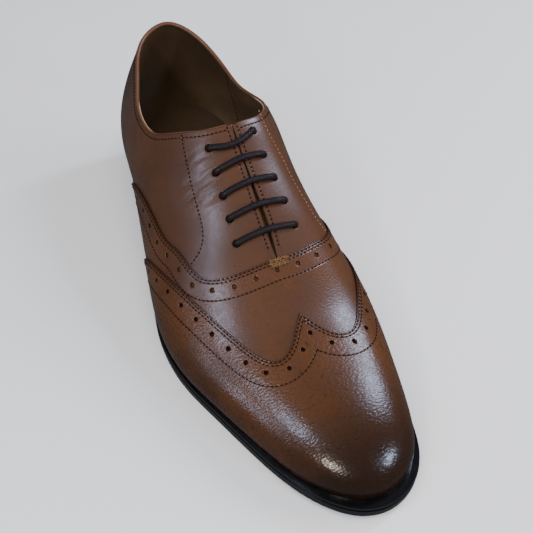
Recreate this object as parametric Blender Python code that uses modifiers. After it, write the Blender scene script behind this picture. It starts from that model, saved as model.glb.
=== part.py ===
"""A right wing tip lace-up shoe, empty and standing on its sole.

Metres, +Z up. The toe points to -Y, the heel to +Y, and the inner side of the foot is +X.
Every form hangs on one last surface: sections that rise from the feather line to the ridge.
A place on it is (station, up). Station runs 0 at the toe, 1 at the back of the heel along the
outer side, and on to 2 at the toe along the inner side. Up is 0 at the feather and 1 at the ridge.
"""
import bpy
import bmesh
import numpy as np
from mathutils import Vector
from mathutils.geometry import delaunay_2d_cdt

# Driving sizes of the whole shoe
LENGTH = 0.3005
BALL_WIDTH = 0.114
INSTEP_HEIGHT = 0.096
HEEL_HEIGHT = 0.0235
TOE_SPRING = 0.0046

# Thicknesses and clearances
CLEARANCE = 0.0003
OUTSOLE = 0.0050
WELT = 0.0026
INSOLE = 0.0022
TOP_PIECE = 0.0055
WALL = 0.0016
OVERLAY = 0.0009
TONGUE = 0.0015
LACE_RADIUS = 0.0016
LACE_ROOM = 0.00045
LACE_MOUTH = 0.0006
LACE_TURN = 0.0025
TONGUE_ROOM = 0.0012
EYELET_RADIUS = 0.0024

# Smaller sizes
EDGE_ROUND = 0.0008
INSOLE_INSET = 0.0024
HEEL_INSET = 0.0010
HEEL_TAPER = 0.0016
HEEL_LENGTH = 0.0705
BREAST_HOLLOW = 0.0030
OVERLAY_FOOT = 0.012
SLIT_OPEN_HALF = 0.0017
SPARE_END_OFFSET = 0.0050

# Mesh density
COLUMNS = 56
ROWS = 12
RUNGS = 36
EYELET_SIDES = 8

# Sections from the toe to the back of the heel.
# along: share of LENGTH from the heel end; out, belly and reach: shares of BALL_WIDTH;
# rise: share of INSTEP_HEIGHT. Belly and rise lift the section off the feather,
# reach lays it over the ridge.
# top_along, then along, out, belly, rise, reach of the outer side, then of the inner side
SECTIONS = (
    (0.852, 0.978, -0.048, 0.018, 0.156, 0.175, 0.978, 0.048, 0.018, 0.156, 0.175),
    (0.844, 0.949, 0.116, 0.035, 0.167, 0.193, 0.952, 0.211, 0.029, 0.177, 0.199),
    (0.815, 0.882, 0.246, 0.053, 0.188, 0.219, 0.889, 0.295, 0.035, 0.208, 0.226),
    (0.769, 0.799, 0.341, 0.079, 0.208, 0.237, 0.804, 0.349, 0.035, 0.240, 0.254),
    (0.702, 0.710, 0.430, 0.105, 0.229, 0.246, 0.722, 0.393, 0.035, 0.281, 0.281),
    (0.626, 0.626, 0.500, 0.114, 0.240, 0.263, 0.636, 0.406, 0.053, 0.312, 0.307),
    (0.539, 0.539, 0.515, 0.114, 0.281, 0.272, 0.549, 0.356, 0.088, 0.354, 0.333),
    (0.453, 0.459, 0.487, 0.105, 0.323, 0.281, 0.459, 0.268, 0.132, 0.365, 0.342),
    (0.369, 0.373, 0.434, 0.132, 0.333, 0.289, 0.373, 0.219, 0.184, 0.354, 0.333),
    (0.290, 0.290, 0.364, 0.202, 0.312, 0.263, 0.290, 0.224, 0.211, 0.312, 0.298),
    (0.220, 0.206, 0.316, 0.254, 0.250, 0.225, 0.206, 0.250, 0.211, 0.208, 0.140),
    (0.153, 0.126, 0.276, 0.285, 0.229, 0.115, 0.126, 0.263, 0.193, 0.188, 0.078),
    (0.099, 0.047, 0.180, 0.210, 0.271, 0.130, 0.047, 0.189, 0.145, 0.250, 0.085),
    (0.072, 0.007, -0.018, 0.066, 0.333, 0.125, 0.007, 0.018, 0.066, 0.333, 0.125),
)

# The ridge over the foot, closed above the collar as on a last.
# along: share of LENGTH; up: share of INSTEP_HEIGHT; out: share of BALL_WIDTH to the inner side
RIDGE = (
    (0.062, 1.281, 0.026),
    (0.093, 1.271, 0.026),
    (0.156, 1.240, 0.026),
    (0.223, 1.198, 0.032),
    (0.290, 1.141, 0.037),
    (0.339, 1.078, 0.040),
    (0.386, 1.000, 0.040),
    (0.419, 0.932, 0.039),
    (0.459, 0.860, 0.036),
    (0.499, 0.792, 0.033),
    (0.539, 0.716, 0.030),
    (0.576, 0.636, 0.026),
    (0.606, 0.585, 0.026),
    (0.639, 0.533, 0.026),
    (0.682, 0.477, 0.026),
    (0.739, 0.439, 0.031),
    (0.772, 0.423, 0.035),
    (0.805, 0.409, 0.039),
    (0.852, 0.389, 0.044),
    (0.879, 0.375, 0.044),
)

# Underside of the sole. along: share of LENGTH; heel: share of HEEL_HEIGHT; toe: share of TOE_SPRING
UNDERSIDE = (
    (0.000, 1.00, 0.00),
    (0.110, 0.95, 0.00),
    (0.215, 0.88, 0.00),
    (0.310, 0.63, 0.00),
    (0.410, 0.25, 0.00),
    (0.500, 0.05, 0.00),
    (0.556, 0.00, 0.00),
    (0.690, 0.00, 0.00),
    (0.760, 0.00, 0.06),
    (0.840, 0.00, 0.32),
    (0.910, 0.00, 0.62),
    (1.000, 0.00, 1.00),
)

# Ledge of the sole outside the feather. along and ledge: shares of LENGTH and BALL_WIDTH
LEDGE = (
    (0.000, 0.018),
    (0.180, 0.018),
    (0.380, 0.022),
    (0.540, 0.042),
    (0.700, 0.041),
    (0.860, 0.047),
    (0.940, 0.056),
    (0.978, 0.066),
)

# Collar line over the sections. station and up
COLLAR = (
    (0.618, 0.975),
    (0.622, 0.900),
    (0.630, 0.825),
    (0.645, 0.745),
    (0.665, 0.657),
    (0.690, 0.583),
    (0.735, 0.540),
    (0.790, 0.537),
    (0.850, 0.553),
    (0.915, 0.577),
    (0.965, 0.582),
    (1.000, 0.584),
    (1.035, 0.581),
    (1.085, 0.564),
    (1.150, 0.532),
    (1.210, 0.525),
    (1.265, 0.548),
    (1.310, 0.610),
    (1.340, 0.690),
    (1.360, 0.770),
    (1.374, 0.850),
    (1.380, 0.920),
    (1.384, 0.975),
)

# Upper edge of the vamp. station and up
VAMP_EDGE = (
    (0.735, 0.000),
    (0.720, 0.180),
    (0.660, 0.330),
    (0.592, 0.412),
    (0.540, 0.458),
    (0.502, 0.522),
    (0.470, 0.556),
    (0.450, 0.592),
    (0.438, 0.643),
    (0.430, 0.709),
    (0.425, 0.787),
    (0.423, 0.880),
    (0.423, 1.000),
    (1.577, 1.000),
    (1.576, 0.934),
    (1.573, 0.869),
    (1.568, 0.795),
    (1.560, 0.700),
    (1.546, 0.585),
    (1.525, 0.485),
    (1.489, 0.388),
    (1.440, 0.310),
    (1.383, 0.262),
    (1.331, 0.235),
    (1.290, 0.160),
    (1.282, 0.000),
)

# Edge of the wing cap, with its point on the ridge. station and up
WING_EDGE = (
    (0.590, 0.000),
    (0.580, 0.160),
    (0.540, 0.295),
    (0.508, 0.365),
    (0.455, 0.465),
    (0.415, 0.530),
    (0.375, 0.582),
    (0.335, 0.625),
    (0.295, 0.675),
    (0.280, 0.712),
    (0.273, 0.762),
    (0.275, 0.812),
    (0.286, 0.870),
    (0.305, 0.925),
    (0.333, 1.000),
    (1.667, 1.000),
    (1.700, 0.930),
    (1.714, 0.880),
    (1.720, 0.820),
    (1.716, 0.746),
    (1.704, 0.682),
    (1.678, 0.608),
    (1.640, 0.525),
    (1.600, 0.430),
    (1.550, 0.320),
    (1.510, 0.180),
    (1.500, 0.000),
)

# Eyelets, top row to bottom row: station and up at each end of the row of five
EYELET_ROWS = 5
OUTER_EYELETS = ((0.600, 0.846), (0.461, 0.818))
INNER_EYELETS = ((1.396, 0.898), (1.538, 0.850))

# Tongue, front to back: station, half width in up, share of the way down from the wall to its full depth
TONGUE_ROWS = (
    (0.392, 0.16, 0.00),
    (0.416, 0.19, 0.69),
    (0.440, 0.23, 1.00),
    (0.500, 0.27, 1.00),
    (0.550, 0.29, 1.00),
    (0.600, 0.30, 1.00),
    (0.632, 0.28, 1.00),
    (0.644, 0.22, 1.00),
)
TONGUE_ACROSS = 10


def spline(x, y, closed=False):
    """Cubic through the rows y at x. Closed repeats the first row at the end."""
    x = np.asarray(x, float)
    y = np.asarray(y, float).reshape(len(x), -1)
    count = len(x)
    step = np.diff(x)
    matrix = np.zeros((count, count))
    right = np.zeros((count, y.shape[1]))
    slope = np.diff(y, axis=0) / step[:, None]
    for i in range(1, count - 1):
        matrix[i, i - 1:i + 2] = step[i - 1], 2 * (step[i - 1] + step[i]), step[i]
        right[i] = 6 * (slope[i] - slope[i - 1])
    if closed:
        matrix[0, 0], matrix[0, 1] = 2 * (step[0] + step[-1]), step[0]
        matrix[0, count - 2] = step[-1]
        right[0] = 6 * (slope[0] - slope[-1])
        matrix[-1, 0], matrix[-1, -1] = 1, -1
    else:
        matrix[0, 0] = matrix[-1, -1] = 1
    bend = np.linalg.solve(matrix, right)

    def value(t):
        t = np.atleast_1d(np.asarray(t, float))
        i = np.clip(np.searchsorted(x, t) - 1, 0, count - 2)
        ahead = (x[i + 1] - t)[:, None]
        behind = (t - x[i])[:, None]
        h = step[i][:, None]
        return (bend[i] * ahead ** 3 / (6 * h) + bend[i + 1] * behind ** 3 / (6 * h)
                + (y[i] / h - bend[i] * h / 6) * ahead + (y[i + 1] / h - bend[i + 1] * h / 6) * behind)

    return value


def steady(x, y):
    """Cubic through the rows y at x that never overshoots, so that a flat stretch stays flat."""
    x = np.asarray(x, float)
    y = np.asarray(y, float)
    step = np.diff(x)
    slope = np.diff(y) / step
    lean = np.zeros(len(x))
    for i in range(1, len(x) - 1):
        if slope[i - 1] * slope[i] > 0:
            lean[i] = 2 * slope[i - 1] * slope[i] / (slope[i - 1] + slope[i])
    lean[0], lean[-1] = slope[0], slope[-1]

    def value(t):
        t = np.clip(np.atleast_1d(np.asarray(t, float)), x[0], x[-1])
        i = np.clip(np.searchsorted(x, t) - 1, 0, len(x) - 2)
        h = step[i]
        s = (t - x[i]) / h
        return (y[i] * (1 + 2 * s) * (1 - s) ** 2 + y[i + 1] * s * s * (3 - 2 * s)
                + lean[i] * h * s * (1 - s) ** 2 + lean[i + 1] * h * s * s * (s - 1))

    return value


def column(table, index, size=1.0):
    return [row[index] * size for row in table]


# Curves of the last. A point's plan is (x, y) with y the negative of along.
TOP_ALONG, OUTER, INNER = 0, 1, 6
UNDER_HEEL = steady(column(UNDERSIDE, 0, LENGTH), column(UNDERSIDE, 1, HEEL_HEIGHT))
UNDER_TOE = steady(column(UNDERSIDE, 0, LENGTH), column(UNDERSIDE, 2, TOE_SPRING))
LEDGE_AT = steady(column(LEDGE, 0, LENGTH), column(LEDGE, 1, BALL_WIDTH))
RIDGE_AT = spline(column(RIDGE, 0, LENGTH), list(zip(column(RIDGE, 1, INSTEP_HEIGHT),
                                                     column(RIDGE, 2, BALL_WIDTH))))
SECTION_SCALE = np.array([LENGTH, BALL_WIDTH, BALL_WIDTH, INSTEP_HEIGHT, BALL_WIDTH])
SOLE_STACK = OUTSOLE + WELT + 2 * CLEARANCE


def under(along):
    """Height of the sole's underside over the floor."""
    return UNDER_HEEL(along) + UNDER_TOE(along)


def section_curve():
    """Section values over the station, once round the shoe."""
    side = []
    for row in SECTIONS:
        outer = np.array(row[OUTER:OUTER + 5]) * SECTION_SCALE
        outer[1] = -outer[1]
        inner = np.array(row[INNER:INNER + 5]) * SECTION_SCALE
        top = row[TOP_ALONG] * LENGTH
        side.append((np.append(outer, top), np.append(inner, top)))
    last = len(side) - 1
    rows = [pair[0] for pair in side] + [side[i][1] for i in range(last - 1, -1, -1)]
    return spline(np.arange(2 * last + 1) / last, rows, closed=True)


SECTION_AT = section_curve()
STATION_STEP = 1e-3
RIDGE_STEP = 0.0005


def feather(station):
    """Feather points, outward plan directions and section values at each station."""
    station = np.atleast_1d(np.asarray(station, float)) % 2.0
    values = SECTION_AT(station)
    turn = SECTION_AT((station + STATION_STEP) % 2.0) - SECTION_AT((station - STATION_STEP) % 2.0)
    run_x, run_y = turn[:, 1], -turn[:, 0]
    outward = np.stack([run_y, -run_x], 1)
    outward /= np.linalg.norm(outward, axis=1)[:, None]
    points = np.stack([values[:, 1], -values[:, 0], under(values[:, 0]) + SOLE_STACK], 1)
    middle = np.stack([np.zeros(len(points)), np.clip(points[:, 1], -0.8 * LENGTH, -0.12 * LENGTH)], 1)
    facing = np.sign(((points[:, :2] - middle) * outward).sum(1))
    outward *= np.where(facing == 0, 1, facing)[:, None]
    return points, outward, values


def last_point(station, up):
    """Points of the last surface."""
    low, outward, values = feather(station)
    up = np.broadcast_to(np.asarray(up, float), low.shape[:1])[:, None]
    top_along = values[:, 5]
    ridge = RIDGE_AT(top_along)
    high = np.stack([ridge[:, 1], -top_along, ridge[:, 0]], 1)
    climb = (RIDGE_AT(top_along + RIDGE_STEP) - RIDGE_AT(top_along - RIDGE_STEP))[:, 0] / (2 * RIDGE_STEP)
    across = low[:, :2] - high[:, :2]
    across /= np.linalg.norm(across, axis=1)[:, None]
    lift = np.column_stack([outward * values[:, 2:3], values[:, 3]])
    over = np.column_stack([across, -climb * across[:, 1]]) * values[:, 4:5]
    return (low * (1 - up) ** 3 + 3 * (low + lift) * up * (1 - up) ** 2
            + 3 * (high + over) * up ** 2 * (1 - up) + high * up ** 3)


class LastGrid:
    """The last surface as flat cells, so that every layer over it keeps the same facets."""

    def __init__(self):
        self.stations = np.linspace(0, 2, COLUMNS + 1)
        self.ups = np.linspace(0, 1, ROWS + 1)
        self.points = np.stack([last_point(self.stations, up) for up in self.ups], 1)
        self.points[-1] = self.points[0]
        self.normals = self.vertex_normals()

    def vertex_normals(self):
        p = self.points
        across = np.cross(p[1:, 1:] - p[:-1, :-1], p[:-1, 1:] - p[1:, :-1])
        total = np.zeros_like(p)
        for di in (0, 1):
            for dj in (0, 1):
                total[di:COLUMNS + di, dj:ROWS + dj] += across
        total[0] += total[-1]
        total[-1] = total[0]
        ridge = total[:, -1] + total[::-1, -1]
        total[:, -1] = ridge
        total /= np.linalg.norm(total, axis=2)[:, :, None]
        if total[COLUMNS // 4, ROWS // 2, 0] > 0:
            total = -total
        total[:, :, 2] = np.maximum(total[:, :, 2], 0)
        return total / np.linalg.norm(total, axis=2)[:, :, None]

    def at(self, station, up, height=0.0):
        """A point on the facets, lifted along the normals, and the normal there."""
        i = min(int(station / 2 * COLUMNS), COLUMNS - 1)
        j = min(int(up * ROWS), ROWS - 1)
        a = station / 2 * COLUMNS - i
        b = up * ROWS - j
        if a >= b:
            weights = (((i, j), 1 - a), ((i + 1, j), a - b), ((i + 1, j + 1), b))
        else:
            weights = (((i, j), 1 - b), ((i, j + 1), b - a), ((i + 1, j + 1), a))
        normal = sum(self.normals[k] * w for k, w in weights)
        point = sum(self.points[k] * w for k, w in weights)
        return Vector(point + normal * height), Vector(normal).normalized()


GRID = LastGrid()


def material(name, color, roughness):
    made = bpy.data.materials.new(name)
    made.use_nodes = True
    shader = made.node_tree.nodes["Principled BSDF"]
    shader.inputs["Base Color"].default_value = (*color, 1.0)
    shader.inputs["Roughness"].default_value = roughness
    return made


def add_object(name, data, look, parent):
    thing = bpy.data.objects.new(name, data)
    bpy.context.scene.collection.objects.link(thing)
    data.materials.append(look)
    thing.parent = parent
    return thing


def mesh_from(bm, name, weld=1e-5):
    """Weld the seams, turn the faces outward and hand the mesh over."""
    bmesh.ops.remove_doubles(bm, verts=bm.verts, dist=weld)
    bmesh.ops.dissolve_degenerate(bm, edges=bm.edges, dist=weld / 10)
    bmesh.ops.recalc_face_normals(bm, faces=bm.faces)
    mesh = bpy.data.meshes.new(name)
    bm.to_mesh(mesh)
    bm.free()
    return mesh


def wall_modifier(thing, thickness, side):
    solid = thing.modifiers.new("wall", "SOLIDIFY")
    solid.thickness = thickness
    solid.offset = side
    solid.use_even_offset = False
    solid.use_quality_normals = True


def edge_modifier(thing, width):
    bevel = thing.modifiers.new("edge", "BEVEL")
    bevel.width = width
    bevel.segments = 1
    bevel.limit_method = "ANGLE"
    bevel.angle_limit = np.radians(50)


def chart_panel(name, outline, holes, height):
    """An open sheet on the facets of the last, with the outline and holes given in station and up."""
    places = [Vector((s, u)) for s in GRID.stations for u in GRID.ups]
    edges = []
    for i in range(COLUMNS + 1):
        for j in range(ROWS + 1):
            here = i * (ROWS + 1) + j
            if j < ROWS:
                edges.append((here, here + 1))
            if i < COLUMNS:
                edges.append((here, here + ROWS + 1))
            if i < COLUMNS and j < ROWS:
                edges.append((here, here + ROWS + 2))
    faces = []
    for loop in [outline] + holes:
        faces.append(list(range(len(places), len(places) + len(loop))))
        places += [Vector(p) for p in loop]
    made = delaunay_2d_cdt(places, edges, faces, 0, 1e-7)
    verts, tris, origin = made[0], made[2], made[5]
    bm = bmesh.new()
    index = {}
    for tri, source in zip(tris, origin):
        inside = [f for f in source if f < len(faces)]
        if 0 not in inside or len(inside) > 1:
            continue
        for k in tri:
            if k not in index:
                station, up = np.clip(verts[k].x, 0, 2), np.clip(verts[k].y, 0, 1)
                index[k] = bm.verts.new(GRID.at(station, up, height)[0])
        bm.faces.new([index[k] for k in tri])
    return mesh_from(bm, name)


def smooth_line(points, steps):
    """A rounded line through the points, with steps pieces between each two."""
    points = np.array(points)
    run = np.concatenate([[0], np.cumsum(np.linalg.norm(np.diff(points, axis=0), axis=1))])
    curve = spline(run, points)
    dense = np.concatenate([np.linspace(run[i], run[i + 1], steps, endpoint=False)
                            for i in range(len(run) - 1)] + [[run[-1]]])
    return [tuple(p) for p in curve(dense)]


def chart_disc(station, up, radius, sides):
    """A round hole of the given real radius, as a loop in station and up."""
    d = 1e-3
    here = last_point(station, up)[0]
    along = (last_point(station + d, up)[0] - here) / d
    rise = (last_point(station, up + d)[0] - here) / d
    metric = np.array([[along @ along, along @ rise], [along @ rise, rise @ rise]])
    frame = np.linalg.inv(np.linalg.cholesky(metric)).T
    angles = np.arange(sides) * 2 * np.pi / sides
    ring = np.stack([np.cos(angles), np.sin(angles)], 1) * radius
    return [(station + p[0], up + p[1]) for p in ring @ frame.T]


def eyelets(ends):
    """Five places from the top of the facing down to the throat."""
    share = np.linspace(0, 1, EYELET_ROWS)
    return [tuple(np.array(ends[0]) * (1 - t) + np.array(ends[1]) * t) for t in share]


def section_length(station):
    """Length of the section from the feather to the ridge."""
    steps = np.linspace(0, 1, 25)
    line = last_point(np.full(25, station), steps)
    return np.linalg.norm(np.diff(line, axis=0), axis=1).sum()


# Station on the ridge where the slit starts, just behind the crown of the vamp edge
THROAT = 0.424
# Rows of the slit from its foot upwards: share of its length, share of its greatest half width
SLIT_ROWS = ((0.06, 0.55), (0.25, 1.0), (0.55, 0.75), (0.80, 0.45), (1.00, 0.41))


def slit_edge(top_station, sign):
    """One edge of the slit, from the throat up to the collar."""
    line = []
    for share, opening in SLIT_ROWS:
        station = THROAT + (top_station - THROAT) * share
        half = SLIT_OPEN_HALF * opening / section_length(station)
        line.append((station if sign < 0 else 2 - station, 1 - half))
    return line


def ridge_stations(start, stop):
    """Grid stations on the ridge between two stations, kept so both sides weld."""
    inside = [s for s in GRID.stations if min(start, stop) < s < max(start, stop)]
    return inside if stop > start else inside[::-1]


def upper_outline():
    collar = smooth_line(COLLAR, 2)
    outer = slit_edge(COLLAR[0][0], -1)
    inner = slit_edge(2 - COLLAR[-1][0], 1)
    outline = [(0, 0), (2, 0), (2, 1)]
    outline += [(s, 1) for s in ridge_stations(2, 2 - THROAT)]
    outline += [(2 - THROAT, 1)] + inner + collar[::-1] + outer[::-1] + [(THROAT, 1)]
    outline += [(s, 1) for s in ridge_stations(THROAT, 0)] + [(0, 1)]
    return outline


def build_upper(root, look):
    holes = [chart_disc(s, u, EYELET_RADIUS, EYELET_SIDES)
             for ends in (OUTER_EYELETS, INNER_EYELETS) for s, u in eyelets(ends)]
    thing = add_object("upper", chart_panel("upper", upper_outline(), holes, 0.0), look, root)
    wall_modifier(thing, WALL, -1)


def overlay_outline(edge):
    """Outline of an overlay over the toe up to its edge, in two halves that meet on the ridge."""
    middle = max(range(len(edge)), key=lambda i: edge[i][1])
    outer = smooth_line(edge[:middle + 1], 2)
    inner = smooth_line(edge[middle + 1:], 2)
    outer = [(s, max(u, OVERLAY_FOOT)) for s, u in outer]
    inner = [(s, max(u, OVERLAY_FOOT)) for s, u in inner]
    outline = [(0, OVERLAY_FOOT)] + outer
    outline += [(s, 1) for s in ridge_stations(outer[-1][0], 0)] + [(0, 1)]
    far = [(2, OVERLAY_FOOT), (2, 1)] + [(s, 1) for s in ridge_stations(2, inner[0][0])] + inner
    return outline, far


def build_overlay(root, name, edge, height, look):
    near, far = overlay_outline(edge)
    sheets = bmesh.new()
    for half in (near, far):
        sheets.from_mesh(chart_panel(name, half, [], height))
    thing = add_object(name, mesh_from(sheets, name), look, root)
    wall_modifier(thing, OVERLAY, 1)


def slab(name, low, high):
    """A closed body between two matching grids of points."""
    rows, across = low.shape[:2]
    bm = bmesh.new()
    sheets = [[[bm.verts.new(p) for p in row] for row in sheet] for sheet in (low, high)]
    for sheet in sheets:
        for i in range(rows - 1):
            for j in range(across - 1):
                bm.faces.new((sheet[i][j], sheet[i + 1][j], sheet[i + 1][j + 1], sheet[i][j + 1]))
    rim = [(i, 0) for i in range(rows)] + [(rows - 1, j) for j in range(1, across)]
    rim += [(i, across - 1) for i in range(rows - 2, -1, -1)] + [(0, j) for j in range(across - 2, 0, -1)]
    for (i, j), (m, n) in zip(rim, rim[1:] + rim[:1]):
        bm.faces.new((sheets[0][i][j], sheets[0][m][n], sheets[1][m][n], sheets[1][i][j]))
    return mesh_from(bm, name)


def sole_rungs(stations, inset):
    """Left and right edge points in plan of the sole, drawn in from its outer edge."""
    rungs = []
    for station in stations:
        pair = []
        for s in (station, 2 - station):
            points, outward, values = feather(s)
            shift = LEDGE_AT(values[:, 0]) - inset
            pair.append((points[:, :2] + outward * shift[:, None])[0])
        rungs.append(pair)
    return np.array(rungs)


def sheet(rungs, height):
    """Grid of points over the rungs at a height that follows the underside of the sole."""
    up = height(-rungs[:, :, 1].ravel()).reshape(rungs.shape[:2])
    return np.concatenate([rungs, up[:, :, None]], 2)


def build_sole_layer(root, name, bottom, thickness, inset, look):
    """One layer that follows the underside of the sole from the toe to the heel."""
    rungs = sole_rungs(np.linspace(0, 1, RUNGS), inset)
    low = sheet(rungs, lambda along: under(along) + bottom)
    high = low + np.array([0, 0, thickness])
    thing = add_object(name, slab(name, low, high), look, root)
    edge_modifier(thing, EDGE_ROUND)


def build_insole(root, look):
    stations = np.linspace(0, 1, RUNGS)
    rungs = []
    for station in stations:
        pair = []
        for s in (station, 2 - station):
            points, outward, _ = feather(s)
            pair.append((points[:, :2] - outward * INSOLE_INSET)[0])
        rungs.append(pair)
    low = sheet(np.array(rungs), lambda along: under(along) + SOLE_STACK)
    add_object("insole", slab("insole", low, low + np.array([0, 0, INSOLE])), look, root)


def heel_rungs(inset):
    """Rungs of the heel from its breast to its back, the breast hollowed forward to back."""
    front = next(s for s in np.linspace(0.6, 1, 400) if SECTION_AT(s)[0, 0] < HEEL_LENGTH)
    stations = np.linspace(front, 1, RUNGS // 3 + 1)
    edges = sole_rungs(stations, inset)
    edges[0, :, 1] = -HEEL_LENGTH + inset
    shares = np.linspace(0, 1, 5)
    grid = edges[:, :1] * (1 - shares)[None, :, None] + edges[:, 1:] * shares[None, :, None]
    hollow = BREAST_HOLLOW * (1 - (2 * shares - 1) ** 2)
    fade = np.clip(1 - np.arange(len(stations)) / 3.0, 0, 1)
    grid[:, :, 1] += fade[:, None] * hollow[None, :]
    return grid


def build_heel(root, stack_look, rubber_look):
    foot = sheet(heel_rungs(HEEL_INSET + HEEL_TAPER), lambda along: np.zeros_like(along))
    lift = foot + np.array([0, 0, TOP_PIECE])
    rubber = add_object("heel_top_piece", slab("heel_top_piece", foot, lift), rubber_look, root)
    edge_modifier(rubber, EDGE_ROUND)
    low = lift + np.array([0, 0, CLEARANCE])
    high = sheet(heel_rungs(HEEL_INSET), lambda along: under(along) - CLEARANCE)
    stack = add_object("heel_stack", slab("heel_stack", low, high), stack_look, root)
    edge_modifier(stack, EDGE_ROUND / 2)


LACE_DEPTH = WALL + LACE_ROOM + LACE_RADIUS
TONGUE_DEPTH = LACE_DEPTH + LACE_RADIUS + TONGUE_ROOM


def surface(station, up, height):
    """A point off the facets. Up over 1 goes on past the ridge to the other side."""
    if up > 1:
        station, up = 2 - station, 2 - up
    return GRID.at(station, up, height)[0]


def build_tongue(root, look):
    rows = spline(range(len(TONGUE_ROWS)), TONGUE_ROWS)(np.linspace(0, len(TONGUE_ROWS) - 1, 15))
    sheets = [[], []]
    for station, half, share in rows:
        depth = WALL + CLEARANCE + (TONGUE_DEPTH - WALL - CLEARANCE) * min(max(share, 0), 1)
        ups = 1 + half * np.linspace(-1, 1, TONGUE_ACROSS)
        for line, extra in zip(sheets, (TONGUE, 0.0)):
            line.append([surface(station, up, -depth - extra) for up in ups])
    low, high = np.array(sheets[0]), np.array(sheets[1])
    add_object("tongue", slab("tongue", low, high), look, root)


def lace_route():
    """The lace's path: straight bars over the facings, and hidden runs between them."""
    outer, inner = eyelets(OUTER_EYELETS), eyelets(INNER_EYELETS)
    over = LACE_RADIUS + LACE_ROOM
    mouth = LACE_MOUTH

    def towards(start, end, distance):
        """A place on the way between two eyelets, at a distance from the first."""
        a, b = np.array(start), np.array(end)
        length = (surface(*start, 0.0) - surface(*end, 0.0)).length
        return tuple(a + (b - a) * distance / length)

    def bar(start, end):
        """Out of one eyelet, over the slit and into the other."""
        far = (2 - end[0], 2 - end[1])
        points = [surface(*start, -WALL - mouth), surface(*start, mouth)]
        for share in (0.11, 0.28, 0.5, 0.72, 0.89):
            place = tuple(np.array(start) * (1 - share) + np.array(far) * share)
            points.append(surface(*place, over))
        return points + [surface(*end, mouth), surface(*end, -WALL - mouth)]

    def hidden(start, end):
        return [surface(*towards(start, end, LACE_TURN), -LACE_DEPTH),
                surface(*towards(end, start, LACE_TURN), -LACE_DEPTH)]

    route = [surface(*inner[0], -LACE_DEPTH)]
    sides = (inner, outer)
    for row in range(EYELET_ROWS):
        start, end = sides[row % 2][row], sides[(row + 1) % 2][row]
        route += bar(start, end)
        if row + 1 < EYELET_ROWS:
            route += hidden(end, sides[(row + 1) % 2][row + 1])
    shift = SPARE_END_OFFSET / section_length(outer[0][0])
    for row in range(EYELET_ROWS - 1, -1, -1):
        station, up = outer[row]
        route.append(surface(station, up - shift, -LACE_DEPTH))
    return route


def build_lace(root, look):
    smooth = smooth_line([tuple(p) for p in lace_route()], 2)
    curve = bpy.data.curves.new("lace", "CURVE")
    curve.dimensions = "3D"
    curve.bevel_depth = LACE_RADIUS
    curve.bevel_resolution = 2
    curve.use_fill_caps = True
    line = curve.splines.new("POLY")
    line.points.add(len(smooth) - 1)
    for point, place in zip(line.points, smooth):
        point.co = (*place, 1.0)
    add_object("lace", curve, look, root)


def main():
    for thing in list(bpy.data.objects):
        bpy.data.objects.remove(thing, do_unlink=True)
    root = bpy.data.objects.new("brogue_shoe", None)
    bpy.context.scene.collection.objects.link(root)

    leather = material("upper_leather", (0.23, 0.10, 0.045), 0.38)
    overlay = material("overlay_leather", (0.20, 0.085, 0.038), 0.36)
    lining = material("lining_leather", (0.36, 0.24, 0.13), 0.60)
    black = material("sole_edge_black", (0.012, 0.011, 0.012), 0.28)
    rubber = material("heel_rubber", (0.015, 0.015, 0.015), 0.55)
    cord = material("waxed_cord", (0.020, 0.012, 0.009), 0.50)

    build_sole_layer(root, "outsole", 0.0, OUTSOLE, 0.0, black)
    build_sole_layer(root, "welt", OUTSOLE + CLEARANCE, WELT, EDGE_ROUND, black)
    build_heel(root, black, rubber)
    build_insole(root, lining)
    build_upper(root, leather)
    build_overlay(root, "vamp", VAMP_EDGE, CLEARANCE, overlay)
    build_overlay(root, "wing_cap", WING_EDGE, 2 * CLEARANCE + OVERLAY, overlay)
    build_tongue(root, lining)
    build_lace(root, cord)

    middle = sole_rungs(np.linspace(0, 1, RUNGS), 0.0).reshape(-1, 2)
    centre = (middle.min(0) + middle.max(0)) / 2
    root.location = (-centre[0], -centre[1], 0.0)


main()
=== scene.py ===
# %% [markdown]
# A right wing tip shoe in polished tan leather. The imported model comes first, as a fixed frame.
# Every piece that is made below stands for one of its solids and rides on its only body, root.

# %% Load the frame
import math

import bmesh
import bpy
import numpy as np
from mathutils import Matrix, Vector
from mathutils.bvhtree import BVHTree
from mathutils.kdtree import KDTree


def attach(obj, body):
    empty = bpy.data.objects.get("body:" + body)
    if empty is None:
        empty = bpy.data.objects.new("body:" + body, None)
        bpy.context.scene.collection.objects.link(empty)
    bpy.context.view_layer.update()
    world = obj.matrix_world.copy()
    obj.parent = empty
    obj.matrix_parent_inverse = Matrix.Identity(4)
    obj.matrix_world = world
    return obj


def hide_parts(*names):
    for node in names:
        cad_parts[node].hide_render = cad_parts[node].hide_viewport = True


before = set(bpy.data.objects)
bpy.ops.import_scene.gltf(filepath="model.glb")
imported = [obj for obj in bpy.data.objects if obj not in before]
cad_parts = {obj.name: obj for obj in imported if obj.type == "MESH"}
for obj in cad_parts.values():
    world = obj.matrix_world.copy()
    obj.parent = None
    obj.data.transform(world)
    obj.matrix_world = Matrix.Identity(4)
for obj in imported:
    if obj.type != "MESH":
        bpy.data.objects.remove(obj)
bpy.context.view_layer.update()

MM = 0.001
BODY = "root"
print("solids:", sorted(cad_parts))

# %% [markdown]
# A shoe is built round a last, a form of the foot. Here the last is one smooth surface. Sections
# rise from the feather line, where the upper meets the sole, and close on a ridge over the foot.
# A place on it has two numbers: station, which runs from the toe (0) round the outer side to the
# heel (1) and back along the inner side (2), and up, from the feather (0) to the ridge (1).

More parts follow.
